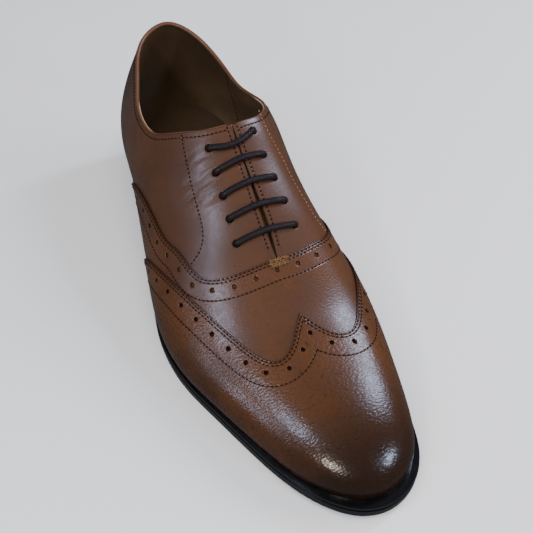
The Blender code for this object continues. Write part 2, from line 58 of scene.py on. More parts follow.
# %% Sizes of the shoe
LENGTH, BALL_WIDTH = 300.5 * MM, 114 * MM
INSTEP_HEIGHT, HEEL_HEIGHT, TOE_SPRING = 96 * MM, 23.5 * MM, 4.6 * MM
OUTSOLE, WELT, INSOLE, TOP_PIECE = 5.0 * MM, 2.6 * MM, 2.2 * MM, 5.5 * MM
GAP = 0.3 * MM
WALL, LEATHER = 1.6 * MM, 1.0 * MM
SOLE_STACK = OUTSOLE + WELT + 2 * GAP
LACE_RADIUS = 1.6 * MM
HEEL_LENGTH = 70.5 * MM

# %% Sections of the last, as shares of the sizes
# top_along, then along, out, belly, rise, reach of the outer side, then of the inner side
SECTIONS = (
    (0.852, 0.978, -0.048, 0.018, 0.156, 0.175, 0.978, 0.048, 0.018, 0.156, 0.175),
    (0.844, 0.949, 0.116, 0.035, 0.167, 0.193, 0.952, 0.211, 0.029, 0.177, 0.199),
    (0.815, 0.882, 0.246, 0.053, 0.188, 0.219, 0.889, 0.295, 0.035, 0.208, 0.226),
    (0.769, 0.799, 0.341, 0.079, 0.208, 0.237, 0.804, 0.349, 0.035, 0.240, 0.254),
    (0.702, 0.710, 0.430, 0.105, 0.229, 0.246, 0.722, 0.393, 0.035, 0.281, 0.281),
    (0.626, 0.626, 0.500, 0.114, 0.240, 0.263, 0.636, 0.406, 0.053, 0.312, 0.307),
    (0.539, 0.539, 0.515, 0.114, 0.281, 0.272, 0.549, 0.356, 0.088, 0.354, 0.333),
    (0.453, 0.459, 0.487, 0.105, 0.323, 0.281, 0.459, 0.268, 0.132, 0.365, 0.342),
    (0.369, 0.373, 0.434, 0.132, 0.333, 0.289, 0.373, 0.219, 0.184, 0.354, 0.333),
    (0.290, 0.290, 0.364, 0.202, 0.312, 0.263, 0.290, 0.224, 0.211, 0.312, 0.298),
    (0.220, 0.206, 0.316, 0.254, 0.250, 0.225, 0.206, 0.250, 0.211, 0.208, 0.140),
    (0.153, 0.126, 0.276, 0.285, 0.229, 0.115, 0.126, 0.263, 0.193, 0.188, 0.078),
    (0.099, 0.047, 0.180, 0.210, 0.271, 0.130, 0.047, 0.189, 0.145, 0.250, 0.085),
    (0.072, 0.007, -0.018, 0.066, 0.333, 0.125, 0.007, 0.018, 0.066, 0.333, 0.125),
)
# The ridge: along, up, out to the inner side
RIDGE = (
    (0.062, 1.281, 0.026),
    (0.093, 1.271, 0.026), (0.156, 1.240, 0.026), (0.223, 1.198, 0.032), (0.290, 1.141, 0.037),
    (0.339, 1.078, 0.040), (0.386, 1.000, 0.040), (0.419, 0.932, 0.039), (0.459, 0.860, 0.036),
    (0.499, 0.792, 0.033), (0.539, 0.716, 0.030), (0.576, 0.636, 0.026), (0.606, 0.585, 0.026),
    (0.639, 0.533, 0.026), (0.682, 0.477, 0.026), (0.739, 0.439, 0.031), (0.772, 0.423, 0.035),
    (0.805, 0.409, 0.039), (0.852, 0.389, 0.044), (0.879, 0.375, 0.044),
)
# Underside of the sole: along, share of the heel height, share of the toe spring
UNDERSIDE = (
    (0.000, 1.00, 0.00), (0.110, 0.95, 0.00), (0.215, 0.88, 0.00), (0.310, 0.63, 0.00),
    (0.410, 0.25, 0.00), (0.500, 0.05, 0.00), (0.556, 0.00, 0.00), (0.690, 0.00, 0.00),
    (0.760, 0.00, 0.06), (0.840, 0.00, 0.32), (0.910, 0.00, 0.62), (1.000, 0.00, 1.00),
)
# Ledge of the sole outside the feather: along, share of the ball width
LEDGE = (
    (0.000, 0.018), (0.180, 0.018), (0.380, 0.022), (0.540, 0.042),
    (0.700, 0.041), (0.860, 0.047), (0.940, 0.056), (0.978, 0.066),
)


# %% Curves through the tables
def spline(x, y, closed=False):
    """Cubic through the rows y at x. Closed repeats the first row at the end."""
    x = np.asarray(x, float)
    y = np.asarray(y, float).reshape(len(x), -1)
    count, step = len(x), np.diff(x)
    slope = np.diff(y, axis=0) / step[:, None]
    matrix, right = np.zeros((count, count)), np.zeros((count, y.shape[1]))
    for i in range(1, count - 1):
        matrix[i, i - 1:i + 2] = step[i - 1], 2 * (step[i - 1] + step[i]), step[i]
        right[i] = 6 * (slope[i] - slope[i - 1])
    matrix[0, 0] = matrix[-1, -1] = 1
    if closed:
        matrix[0, :2] = 2 * (step[0] + step[-1]), step[0]
        matrix[0, count - 2] = step[-1]
        right[0] = 6 * (slope[0] - slope[-1])
        matrix[-1, 0] = -1
    bend = np.linalg.solve(matrix, right)

    def value(t):
        t = np.atleast_1d(np.asarray(t, float))
        i = np.clip(np.searchsorted(x, t) - 1, 0, count - 2)
        a, b, h = (x[i + 1] - t)[:, None], (t - x[i])[:, None], step[i][:, None]
        return (bend[i] * a ** 3 / (6 * h) + bend[i + 1] * b ** 3 / (6 * h)
                + (y[i] / h - bend[i] * h / 6) * a + (y[i + 1] / h - bend[i + 1] * h / 6) * b)

    return value


def steady(x, y):
    """Cubic that never overshoots its rows, so that a flat stretch stays flat."""
    x, y = np.asarray(x, float), np.asarray(y, float)
    step = np.diff(x)
    slope = np.diff(y) / step
    lean = np.zeros(len(x))
    for i in range(1, len(x) - 1):
        if slope[i - 1] * slope[i] > 0:
            lean[i] = 2 * slope[i - 1] * slope[i] / (slope[i - 1] + slope[i])
    lean[0], lean[-1] = slope[0], slope[-1]

    def value(t):
        t = np.clip(np.atleast_1d(np.asarray(t, float)), x[0], x[-1])
        i = np.clip(np.searchsorted(x, t) - 1, 0, len(x) - 2)
        h = step[i]
        s = (t - x[i]) / h
        return (y[i] * (1 + 2 * s) * (1 - s) ** 2 + y[i + 1] * s * s * (3 - 2 * s)
                + lean[i] * h * s * (1 - s) ** 2 + lean[i + 1] * h * s * s * (s - 1))

    return value


def column(table, index, size=1.0):
    return [row[index] * size for row in table]


def run_along(points, weights=1):
    """Distance from the first point of a line to each of its points."""
    return np.concatenate([[0], np.cumsum(np.linalg.norm(np.diff(points, axis=0) * weights, axis=1))])


def read_line(line, run, goal):
    """All columns of a line, read at the goals."""
    return np.stack([np.interp(goal, run, line[:, k]) for k in range(line.shape[1])], 1)


UNDER_HEEL = steady(column(UNDERSIDE, 0, LENGTH), column(UNDERSIDE, 1, HEEL_HEIGHT))
UNDER_TOE = steady(column(UNDERSIDE, 0, LENGTH), column(UNDERSIDE, 2, TOE_SPRING))
LEDGE_AT = steady(column(LEDGE, 0, LENGTH), column(LEDGE, 1, BALL_WIDTH))
RIDGE_AT = spline(column(RIDGE, 0, LENGTH),
                  list(zip(column(RIDGE, 1, INSTEP_HEIGHT), column(RIDGE, 2, BALL_WIDTH))))


def under(along):
    """Height of the sole's underside over the floor."""
    return UNDER_HEEL(along) + UNDER_TOE(along)


def section_curve():
    """Section values over the station, once round the shoe."""
    scale = np.array([LENGTH, BALL_WIDTH, BALL_WIDTH, INSTEP_HEIGHT, BALL_WIDTH])
    outer = [np.append(np.array(r[1:6]) * scale * (1, -1, 1, 1, 1), r[0] * LENGTH) for r in SECTIONS]
    inner = [np.append(np.array(r[6:11]) * scale, r[0] * LENGTH) for r in SECTIONS]
    rows = outer + inner[-2::-1]
    return spline(np.arange(len(rows)) / (len(SECTIONS) - 1), rows, closed=True)


SECTION_AT = section_curve()


# %% The last surface
CORE_ENDS = (0.80, 0.12)
NEAR_RIDGE = 0.985
BLEND_FROM, BLEND_SPAN = 0.8, 0.2


def feather(station):
    """Feather points, outward plan directions and section values at each station."""
    station = np.atleast_1d(np.asarray(station, float)) % 2.0
    step = 1e-3
    values = SECTION_AT(station)
    turn = SECTION_AT((station + step) % 2.0) - SECTION_AT((station - step) % 2.0)
    outward = np.stack([-turn[:, 0], -turn[:, 1]], 1)
    outward /= np.linalg.norm(outward, axis=1)[:, None]
    points = np.stack([values[:, 1], -values[:, 0], under(values[:, 0]) + SOLE_STACK], 1)
    middle_line = np.clip(points[:, 1], *(-LENGTH * share for share in CORE_ENDS))
    core = np.stack([np.zeros(len(points)), middle_line], 1)
    facing = np.sign(((points[:, :2] - core) * outward).sum(1))
    return points, outward * np.where(facing == 0, 1, facing)[:, None], values


def sole_edge(station, inset):
    """Plan points of the sole's outer edge, drawn in by the inset."""
    points, outward, values = feather(station)
    return points[:, :2] + outward * (LEDGE_AT(values[:, 0]) - inset)[:, None]


SOLE_RUNGS = 36
OUTLINE = sole_edge(np.linspace(0, 2, 2 * SOLE_RUNGS - 1), 0.0)
SHIFT = np.append(-(OUTLINE.min(0) + OUTLINE.max(0)) / 2, 0.0)


def last_point(station, up):
    """Points of the last surface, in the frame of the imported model."""
    low, outward, values = feather(station)
    up = np.broadcast_to(np.asarray(up, float), low.shape[:1])[:, None]
    top_along, d = values[:, 5], 0.5 * MM
    ridge = RIDGE_AT(top_along)
    high = np.stack([ridge[:, 1], -top_along, ridge[:, 0]], 1)
    climb = (RIDGE_AT(top_along + d) - RIDGE_AT(top_along - d))[:, 0] / (2 * d)
    across = low[:, :2] - high[:, :2]
    across /= np.linalg.norm(across, axis=1)[:, None]
    lift = np.column_stack([outward * values[:, 2:3], values[:, 3]])
    over = np.column_stack([across, -climb * across[:, 1]]) * values[:, 4:5]
    return SHIFT + (low * (1 - up) ** 3 + 3 * (low + lift) * up * (1 - up) ** 2
                    + 3 * (high + over) * up ** 2 * (1 - up) + high * up ** 3)


def unit(v):
    return v / np.maximum(np.linalg.norm(v, axis=-1, keepdims=True), 1e-12)


def raw_normal(station, up):
    up = np.minimum(up, NEAR_RIDGE)
    along = last_point(station + 2e-3, up) - last_point(station - 2e-3, up)
    rise = last_point(station, np.minimum(up + 4e-3, 1)) - last_point(station, up - 4e-3)
    return unit(-np.cross(along, rise))


def skin(station, up, height=0.0):
    """Points at a height over the last, and the outward directions there.
    Up over 1 goes on past the ridge, down the other side."""
    station, up = np.broadcast_arrays(np.asarray(station, float), np.asarray(up, float))
    past = up > 1
    station, up = np.where(past, 2 - station, station), np.where(past, 2 - up, up)
    near_ridge = np.full(station.shape, NEAR_RIDGE)
    ridge = unit(raw_normal(station, near_ridge) + raw_normal(2 - station, near_ridge))
    share = np.clip((up - BLEND_FROM) / BLEND_SPAN, 0, 1)[:, None]
    share = share * share * (3 - 2 * share)
    normal = unit(raw_normal(station, up) * (1 - share) + ridge * share)
    normal[:, 2] = np.maximum(normal[:, 2], 0)
    normal = unit(normal)
    return last_point(station, up) + normal * np.reshape(height, (-1, 1)), normal


# %% [markdown]
# The camera repeats the photo's view of this shoe: high, in front and to the outer side, with a
# slight roll. Its place was worked out from the eyelets and edges of the pair. It is turned, and
# not moved, so that the one shoe stands in the middle of the picture.

# %% Camera
CAMERA_PLACE = Vector((-104.3 * MM, -414.4 * MM, 374.1 * MM)) + Vector(SHIFT)
PHOTO_SIDE = 533
FOCAL_PIXELS = 780.4
SHOE_MIDDLE = (176.0, 281.0)
CAMERA_TURN = math.radians(33.13)
CAMERA_DIP = math.radians(-49.35)
CAMERA_ROLL = math.radians(7.21)


def photo_axes():
    ahead = Vector((math.sin(CAMERA_TURN) * math.cos(CAMERA_DIP),
                    math.cos(CAMERA_TURN) * math.cos(CAMERA_DIP), math.sin(CAMERA_DIP)))
    right = ahead.cross(Vector((0, 0, 1))).normalized()
    top = right.cross(ahead)
    roll_right = right * math.cos(CAMERA_ROLL) + top * math.sin(CAMERA_ROLL)
    roll_top = top * math.cos(CAMERA_ROLL) - right * math.sin(CAMERA_ROLL)
    return roll_right, roll_top, ahead


def add_camera():
    right, top, ahead = photo_axes()
    turned = ahead + right * (SHOE_MIDDLE[0] - PHOTO_SIDE / 2) / FOCAL_PIXELS
    turned -= top * (SHOE_MIDDLE[1] - PHOTO_SIDE / 2) / FOCAL_PIXELS
    turned.normalize()
    side = turned.cross(top).normalized()
    up = side.cross(turned)
    data = bpy.data.cameras.new("camera")
    data.sensor_width = 36.0
    data.lens = 36.0 * FOCAL_PIXELS / PHOTO_SIDE
    data.clip_start = 0.01
    camera = bpy.data.objects.new("camera", data)
    matrix = Matrix((side, up, -turned)).transposed().to_4x4()
    camera.matrix_world = Matrix.Translation(CAMERA_PLACE) @ matrix
    bpy.context.scene.collection.objects.link(camera)
    bpy.context.scene.camera = camera
    print("lens", round(data.lens, 1), "mm")


add_camera()


# %% [markdown]
# A softbox is an area light. Each pale patch on polished leather is the mirror image of one, so the
# patches in the photo tell where they were: a cool window on either side, a narrow low one at the
# left, and two small ones in front that make the two spots on the toe. A wide one above and a warm
# wall at the right fill the rest, and are not mirrored.

# %% Light and floor
FLOOR_DROP = -0.2 * MM


def softbox(name, place, aim, width, height, power, color, mirrored=True):
    data = bpy.data.lights.new(name, "AREA")
    data.shape = "RECTANGLE"
    data.size, data.size_y = width, height
    data.energy, data.color = power, color
    light = bpy.data.objects.new(name, data)
    light.location = place
    light.rotation_euler = (Vector(aim) - Vector(place)).to_track_quat("-Z", "Y").to_euler()
    light.visible_glossy = mirrored
    bpy.context.scene.collection.objects.link(light)


def add_world(color, strength):
    world = bpy.data.worlds.new("studio")
    world.use_nodes = True
    background = world.node_tree.nodes["Background"]
    background.inputs["Color"].default_value = (*color, 1)
    background.inputs["Strength"].default_value = strength
    bpy.context.scene.world = world


def to_mesh(bm, name):
    """Write a bmesh to a new mesh, and free it."""
    mesh = bpy.data.meshes.new(name)
    bm.to_mesh(mesh)
    bm.free()
    return mesh


def add_floor(size, color):
    bm = bmesh.new()
    bmesh.ops.create_grid(bm, x_segments=1, y_segments=1, size=size)
    mesh = to_mesh(bm, "floor")
    floor = bpy.data.objects.new("floor", mesh)
    floor.location.z = FLOOR_DROP
    bpy.context.scene.collection.objects.link(floor)
    paint = bpy.data.materials.new("floor_paper")
    paint.use_nodes = True
    shader = paint.node_tree.nodes["Principled BSDF"]
    shader.inputs["Base Color"].default_value = (*color, 1)
    shader.inputs["Roughness"].default_value = 0.9
    shader.inputs["Specular IOR Level"].default_value = 0.1
    mesh.materials.append(paint)
    floor.visible_glossy = False


add_world((0.86, 0.92, 1.0), 0.12)
add_floor(3.0, (0.90, 0.90, 0.90))
COOL, WARM = (0.62, 0.74, 1.0), (1.0, 0.92, 0.80)
INSTEP, TOE = (0.0, 0.0, 0.05), (0.0, -0.12, 0.05)
softbox("window_right", (0.80, 0.12, 0.86), INSTEP, 0.10, 0.44, 6.2, COOL)
softbox("window_left", (-0.70, -0.14, 0.94), INSTEP, 0.16, 0.34, 2.7, COOL)
softbox("window_low", (-1.00, -0.06, 0.50), INSTEP, 0.05, 0.42, 1.1, COOL)
softbox("lamp_front", (-0.66, -0.74, 0.62), TOE, 0.13, 0.13, 3.0, WARM)
softbox("window_front", (0.56, -0.84, 0.60), TOE, 0.15, 0.17, 3.2, (0.62, 0.76, 1.0))
softbox("room_right", (1.20, -0.45, 0.60), INSTEP, 0.80, 0.80, 12.0, (1.0, 0.84, 0.66), False)
softbox("ceiling", (-0.25, -0.35, 1.6), (0.0, 0.0, 0.0), 1.3, 1.3, 23.0, (1.0, 0.97, 0.93), False)

# %% [markdown]
# Leather is not one colour. Pigment lies thicker in places, the grain is a field of small
# pebbles, and the maker burnishes the toe and the heel darker. The same mask also darkens a
# band low down along the sole, which is painted shade. One node group gives all of it
# from Object coordinates, and each leather sets its own values.

# %% Node helpers
def new_group(name, inputs, outputs):
    group = bpy.data.node_groups.new(name, "ShaderNodeTree")
    for label, kind, value in inputs:
        socket = group.interface.new_socket(label, in_out="INPUT", socket_type=kind)
        socket.default_value = value
    for label, kind in outputs:
        group.interface.new_socket(label, in_out="OUTPUT", socket_type=kind)
    return group, group.nodes.new("NodeGroupInput"), group.nodes.new("NodeGroupOutput")


class Wires:
    """Short calls for making and joining nodes in one tree."""

    def __init__(self, tree):
        self.tree = tree

    def put(self, socket, value):
        if isinstance(value, bpy.types.NodeSocket):
            self.tree.links.new(value, socket)
        elif hasattr(socket.default_value, "__len__") and len(socket.default_value) == 4:
            socket.default_value = (*value[:3], 1.0)
        else:
            socket.default_value = value

    def fill(self, node, **inputs):
        for key, value in inputs.items():
            self.put(node.inputs[key.replace("_", " ")], value)
        return node

    def node(self, kind, settings=None, **inputs):
        made = self.tree.nodes.new(kind)
        for key, value in (settings or {}).items():
            setattr(made, key, value)
        return self.fill(made, **inputs)

    def place(self):
        return self.node("ShaderNodeTexCoord").outputs["Object"]

    def bump(self, height, strength=1.0, distance=1.0):
        made = self.node("ShaderNodeBump", Strength=strength, Distance=distance, Height=height)
        return made.outputs["Normal"]

    def scaled(self, vector, scale):
        made = self.node("ShaderNodeMapping", Vector=vector)
        made.inputs["Scale"].default_value = scale
        return made.outputs["Vector"]

    def math(self, operation, a, b=0.0, c=None):
        made = self.tree.nodes.new("ShaderNodeMath")
        made.operation = operation
        self.put(made.inputs[0], a)
        self.put(made.inputs[1], b)
        if c is not None:
            self.put(made.inputs[2], c)
        return made.outputs[0]

    def ramp(self, value, low, high, to_low=0.0, to_high=1.0):
        made = self.tree.nodes.new("ShaderNodeMapRange")
        made.interpolation_type = "SMOOTHSTEP"
        for index, number in enumerate((value, low, high, to_low, to_high)):
            self.put(made.inputs[index], number)
        return made.outputs[0]

    def mix(self, share, a, b, blend="MIX"):
        made = self.tree.nodes.new("ShaderNodeMix")
        made.data_type, made.blend_type = "RGBA", blend
        self.put(made.inputs[0], share)
        self.put(made.inputs[6], a)
        self.put(made.inputs[7], b)
        return made.outputs[2]

    def noise(self, vector, scale, detail=3.0, rough=0.5):
        made = self.node("ShaderNodeTexNoise", Scale=scale, Detail=detail, Roughness=rough, Vector=vector)
        return made.outputs["Fac"]

    def cells(self, vector, scale, feature="F1"):
        made = self.node("ShaderNodeTexVoronoi", {"feature": feature}, Scale=scale, Vector=vector)
        return made.outputs["Distance"]


# %% Leather group
TOE_BURNISH = (-0.140, -0.078)
HEEL_BURNISH = (0.085, 0.150)
# The low band, near the sole, is painted shade.
LOW_SHADE = (0.012, 0.042)
FINE_SHARE, CREASE_SHARE, WAVE_SHARE = 0.22, 0.07, 3.0


def leather_group():
    group, ins, outs = new_group("leather_hide", (
        ("Base", "NodeSocketColor", (0.25, 0.1, 0.04, 1)),
        ("Deep", "NodeSocketColor", (0.06, 0.02, 0.01, 1)),
        # This input scales the toe and heel burnish and the painted shade of the low band.
        ("Burnish", "NodeSocketFloat", 1.0),
        ("Grain Scale", "NodeSocketFloat", 900.0),
        ("Grain Depth", "NodeSocketFloat", 1.0),
        ("Roughness", "NodeSocketFloat", 0.4),
    ), (("Color", "NodeSocketColor"), ("Roughness", "NodeSocketFloat"), ("Height", "NodeSocketFloat"),
        ("Coat", "NodeSocketFloat")))
    w = Wires(group)
    place = w.place()
    xyz = w.node("ShaderNodeSeparateXYZ", Vector=place)
    toe = w.ramp(xyz.outputs["Y"], *TOE_BURNISH, 1.0, 0.0)
    heel = w.ramp(xyz.outputs["Y"], *HEEL_BURNISH, 0.0, 1.0)
    # Painted shade: darker low down, near the sole.
    low = w.ramp(xyz.outputs["Z"], *LOW_SHADE, 0.70, 0.0)
    cloud = w.noise(place, 26.0, 4.0, 0.55)
    fleck = w.noise(place, 420.0, 3.0, 0.6)
    # Mask of the toe and heel burnish and of the low band's painted shade.
    burnish_shade_mask = w.math("MAXIMUM", w.math("MAXIMUM", toe, heel), low)
    burnish_shade_mask = w.math("MULTIPLY", burnish_shade_mask, w.ramp(cloud, 0.25, 0.6, 0.75, 1.0))
    burnish_shade_mask = w.math("MULTIPLY", burnish_shade_mask, ins.outputs["Burnish"])
    tone = w.mix(w.ramp(cloud, 0.3, 0.7, 0.0, 0.30), ins.outputs["Base"], ins.outputs["Deep"])
    tone = w.mix(w.ramp(fleck, 0.35, 0.75, 0.0, 0.16), tone, ins.outputs["Deep"])
    tone = w.mix(w.math("MULTIPLY", burnish_shade_mask, 0.86), tone, ins.outputs["Deep"])
    bent = w.node("ShaderNodeVectorMath", {"operation": "MULTIPLY"})
    w.put(bent.inputs[0], place)
    bent.inputs[1].default_value = (0.75, 1.25, 1.0)
    wander = w.node("ShaderNodeTexNoise", Scale=260.0, Detail=2.0, Vector=place).outputs["Color"]
    warp = w.node("ShaderNodeVectorMath", {"operation": "MULTIPLY_ADD"})
    w.put(warp.inputs[0], wander)
    warp.inputs[1].default_value = (0.0012, 0.0012, 0.0012)
    w.put(warp.inputs[2], bent.outputs[0])
    pebble = w.cells(warp.outputs[0], ins.outputs["Grain Scale"], "SMOOTH_F1")
    fine = w.noise(place, 1900.0, 2.0, 0.6)
    crease = w.noise(bent.outputs[0], 150.0, 5.0, 0.62)
    wave = w.noise(bent.outputs[0], 34.0, 2.0, 0.5)
    grain = w.ramp(pebble, 0.10, 0.70, 1.0, 0.0)
    grain = w.math("ADD", grain, w.math("MULTIPLY", fine, FINE_SHARE))
    grain = w.math("ADD", grain, w.math("MULTIPLY", crease, CREASE_SHARE))
    grain = w.math("MULTIPLY", grain, ins.outputs["Grain Depth"])
    grain = w.math("ADD", grain, w.math("MULTIPLY", wave, WAVE_SHARE))
    pits = w.ramp(pebble, 0.50, 0.85, 0.0, 0.24)
    tone = w.mix(w.math("MULTIPLY", pits, ins.outputs["Grain Depth"]), tone, ins.outputs["Deep"])
    rough = w.math("ADD", ins.outputs["Roughness"], w.ramp(cloud, 0.3, 0.7, -0.05, 0.06))
    rough = w.math("SUBTRACT", rough, w.math("MULTIPLY", burnish_shade_mask, 0.07))
    rough = w.math("ADD", rough, w.ramp(fleck, 0.3, 0.7, -0.02, 0.03))
    w.put(outs.inputs["Color"], tone)
    w.put(outs.inputs["Roughness"], rough)
    w.put(outs.inputs["Height"], grain)
    w.put(outs.inputs["Coat"], w.math("ADD", w.math("MULTIPLY", burnish_shade_mask, 0.20), 0.06))
    return group


HIDE = leather_group()


# %% [markdown]
# A row of stitches pulls the leather down into a shallow groove, and painted shade darkens it.
# Each panel's UV map holds the distance from its edge in millimetres, so a groove is a band of
# constant V. The group takes up to three such distances, and gives a band at the edge itself for
# a painted shadow.

# %% Groove group
def groove_group():
    group, ins, outs = new_group("seam_grooves", (
        ("First", "NodeSocketFloat", 1.2),
        ("Second", "NodeSocketFloat", 3.2),
        ("Third", "NodeSocketFloat", 12.5),
        ("Half Width", "NodeSocketFloat", 0.55),
    ), (("Groove", "NodeSocketFloat"), ("Edge", "NodeSocketFloat")))
    w = Wires(group)
    uv = w.node("ShaderNodeTexCoord").outputs["UV"]
    distance = w.node("ShaderNodeSeparateXYZ", Vector=uv).outputs["Y"]
    total = None
    for label in ("First", "Second", "Third"):
        off = w.math("ABSOLUTE", w.math("SUBTRACT", distance, ins.outputs[label]))
        band = w.ramp(off, 0.0, ins.outputs["Half Width"], 1.0, 0.0)
        total = band if total is None else w.math("MAXIMUM", total, band)
    w.put(outs.inputs["Groove"], total)
    w.put(outs.inputs["Edge"], w.ramp(distance, 0.0, 0.7, 1.0, 0.0))
    return group


GROOVES = groove_group()


# %% Leather materials
GRAIN_HEIGHT, GROOVE_DEPTH, FOLD_DEPTH = 0.026 * MM, 0.10 * MM, 1.6 * MM
FOLD_REACH = (6 * MM, 24 * MM)
FOLD_SCALE = (45, 170, 80)
# How strongly the grooves take painted shade and the cut edge a painted shadow.
GROOVE_SHADE, EDGE_SHADOW = 0.35, 0.8
LEATHER_SHINE, INK_SHINE, THREAD_SHINE = 0.62, 0.3, 0.08


def new_look(name):
    """A new material, the wires of its tree and its shader."""
    made = bpy.data.materials.new(name)
    made.use_nodes = True
    return made, Wires(made.node_tree), made.node_tree.nodes["Principled BSDF"]


def leather(name, base, deep, rough, grain=1.0, burnish_and_shade=1.0, grooves=None, scale=900.0, coat_rough=0.22,
            pucker=None):
    """A polished leather. Grooves are the distances of its stitch rows in millimetres; the grooves
    get painted shade and the cut edge a painted shadow. Burnish and shade scales the toe and heel
    burnish and the low band's painted shade. Pucker is the place that the laces have drawn into
    soft folds."""
    made, w, shader = new_look(name)
    hide = w.node("ShaderNodeGroup", {"node_tree": HIDE}, Base=base, Deep=deep, Burnish=burnish_and_shade,
                  Grain_Scale=scale, Grain_Depth=grain, Roughness=rough)
    color, height = hide.outputs["Color"], w.math("MULTIPLY", hide.outputs["Height"], GRAIN_HEIGHT)
    if grooves:
        seam = w.node("ShaderNodeGroup", {"node_tree": GROOVES}, First=grooves[0], Second=grooves[1],
                      Third=grooves[2])
        dip = w.math("MULTIPLY", seam.outputs["Groove"], GROOVE_DEPTH)
        height = w.math("SUBTRACT", height, dip)
        # Painted shade in the stitch grooves, and a painted shadow along the cut edge.
        color = w.mix(w.math("MULTIPLY", seam.outputs["Groove"], GROOVE_SHADE), color, deep)
        color = w.mix(w.math("MULTIPLY", seam.outputs["Edge"], EDGE_SHADOW), color, deep)
    if pucker is not None:
        place = w.place()
        apart = w.node("ShaderNodeVectorMath", {"operation": "DISTANCE"})
        w.put(apart.inputs[0], place)
        apart.inputs[1].default_value = pucker
        near = w.ramp(apart.outputs["Value"], *FOLD_REACH, 1.0, 0.0)
        folds = w.noise(w.scaled(place, FOLD_SCALE), 1.0, 1.0, 0.4)
        folds = w.math("MULTIPLY", w.math("MULTIPLY", folds, near), FOLD_DEPTH)
        height = w.math("ADD", height, folds)
    w.fill(shader, Base_Color=color, Roughness=hide.outputs["Roughness"], Normal=w.bump(height),
           Coat_Weight=hide.outputs["Coat"], Coat_Roughness=coat_rough, Specular_IOR_Level=LEATHER_SHINE)
    return made


TAN, RUSSET, COGNAC = (0.083, 0.034, 0.0160), (0.091, 0.036, 0.0155), (0.100, 0.037, 0.0125)
DEEP = (0.008, 0.0028, 0.001)
EYELET_SIDE = skin([0.560], [0.800])[0][0]
QUARTER_HIDE = leather("quarter_hide", TAN, DEEP, 0.33, 0.8, 0.9, (2.8, 2.8, 2.8), 1000.0,
                       pucker=EYELET_SIDE)
VAMP_HIDE = leather("vamp_hide", RUSSET, DEEP, 0.29, 1.0, 1.0, (0.9, 2.4, 11.5), 1000.0)
WING_HIDE = leather("wing_hide", COGNAC, DEEP, 0.27, 2.1, 1.0, (0.9, 2.4, 12.7), 880.0)
TONGUE_HIDE = leather("tongue_hide", (0.15, 0.066, 0.028), DEEP, 0.5, 0.6, 0.0)
BEAD_HIDE = leather("bead_hide", (0.150, 0.062, 0.026), DEEP, 0.42, 0.5, 0.2)
# Inside the shoe, the lining's darkening at the heel and low down is painted shade.
LINING_HIDE = leather("lining_hide", (0.150, 0.090, 0.046), (0.03, 0.017, 0.009), 0.55, 0.5, 0.7,
                      scale=1300.0, coat_rough=0.4)
# The sock is its own brown darkened as painted shade, deep in the shoe.
SOCK_HIDE = leather("sock_hide", (0.055, 0.034, 0.018), (0.02, 0.012, 0.007), 0.55, 0.6, 0.2,
                    scale=1300.0, coat_rough=0.4)


# %% Black sole edge, rubber and threads
INK_HEIGHT, PLY_HEIGHT = 0.010 * MM, 0.05 * MM


def edge_black(name, rough, coat):
    """Edge ink over leather board: glossy, with faint lengthwise lines and dust in the pores."""
    made, w, shader = new_look(name)
    place = w.place()
    streak = w.noise(w.scaled(place, (1, 1, 6)), 160.0, 4.0, 0.6)
    speck = w.noise(place, 900.0, 2.0, 0.5)
    height = w.math("MULTIPLY", w.math("ADD", streak, w.math("MULTIPLY", speck, 0.3)), INK_HEIGHT)
    color = w.mix(w.ramp(streak, 0.35, 0.75), (0.002, 0.002, 0.003), (0.006, 0.005, 0.005))
    w.fill(shader, Base_Color=color, Roughness=w.ramp(speck, 0.3, 0.7, rough - 0.03, rough + 0.04),
           Normal=w.bump(height), Coat_Weight=coat, Specular_IOR_Level=INK_SHINE, Coat_Roughness=0.15)
    return made


def thread(name, color, twist=1.0):
    """Waxed thread: small twists across each stitch."""
    made, w, shader = new_look(name)
    ply = w.noise(w.place(), 2600.0 * twist, 2.0, 0.5)
    dark = tuple(c * 0.45 for c in color)
    w.fill(shader, Base_Color=w.mix(w.ramp(ply, 0.35, 0.65), dark, color),
           Roughness=w.ramp(ply, 0.3, 0.7, 0.7, 0.85), Normal=w.bump(ply, 0.6, PLY_HEIGHT),
           Specular_IOR_Level=THREAD_SHINE)
    return made


EDGE_INK = edge_black("edge_ink", 0.22, 0.6)
HEEL_RUBBER = edge_black("heel_rubber_black", 0.5, 0.0)
DARK_THREAD = thread("dark_thread", (0.020, 0.009, 0.006))
TAN_THREAD = thread("tan_thread", (0.33, 0.18, 0.085))
# Near black, for the floors of the wing's holes: painted shade.
HOLE_SHADE = thread("hole_painted_shade", (0.018, 0.008, 0.004), 0.5)
HOLE_BROWN = thread("hole_brown", (0.085, 0.036, 0.016), 0.5)


# %% [markdown]
# Every leather panel starts as a flat grid. One side of the grid becomes the panel's cut edge,
# the opposite side its foot at the sole, and the rows between follow the edge. Laid on the last,
# the grid has clean rows along its edge, so that edge and stitches stay smooth.

# %% Panel helpers
WELD = 0.01 * MM
STATION_WEIGHT = (3, 1)


def link(name, mesh, look):
    thing = bpy.data.objects.new(name, mesh)
    bpy.context.scene.collection.objects.link(thing)
    mesh.materials.append(look)
    for face in mesh.polygons:
        face.use_smooth = True
    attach(thing, BODY)
    return thing


def freeze(thing):
    """Apply the modifiers of a piece to its mesh."""
    graph = bpy.context.evaluated_depsgraph_get()
    mesh = bpy.data.meshes.new_from_object(thing.evaluated_get(graph))
    old = thing.data
    thing.modifiers.clear()
    thing.data = mesh
    bpy.data.meshes.remove(old)


def dense_line(points, count):
    """Even points on a smooth curve through the rows of a table."""
    points = np.array(points, float)
    run = run_along(points, STATION_WEIGHT)
    return spline(run, points)(np.linspace(0, run[-1], count))


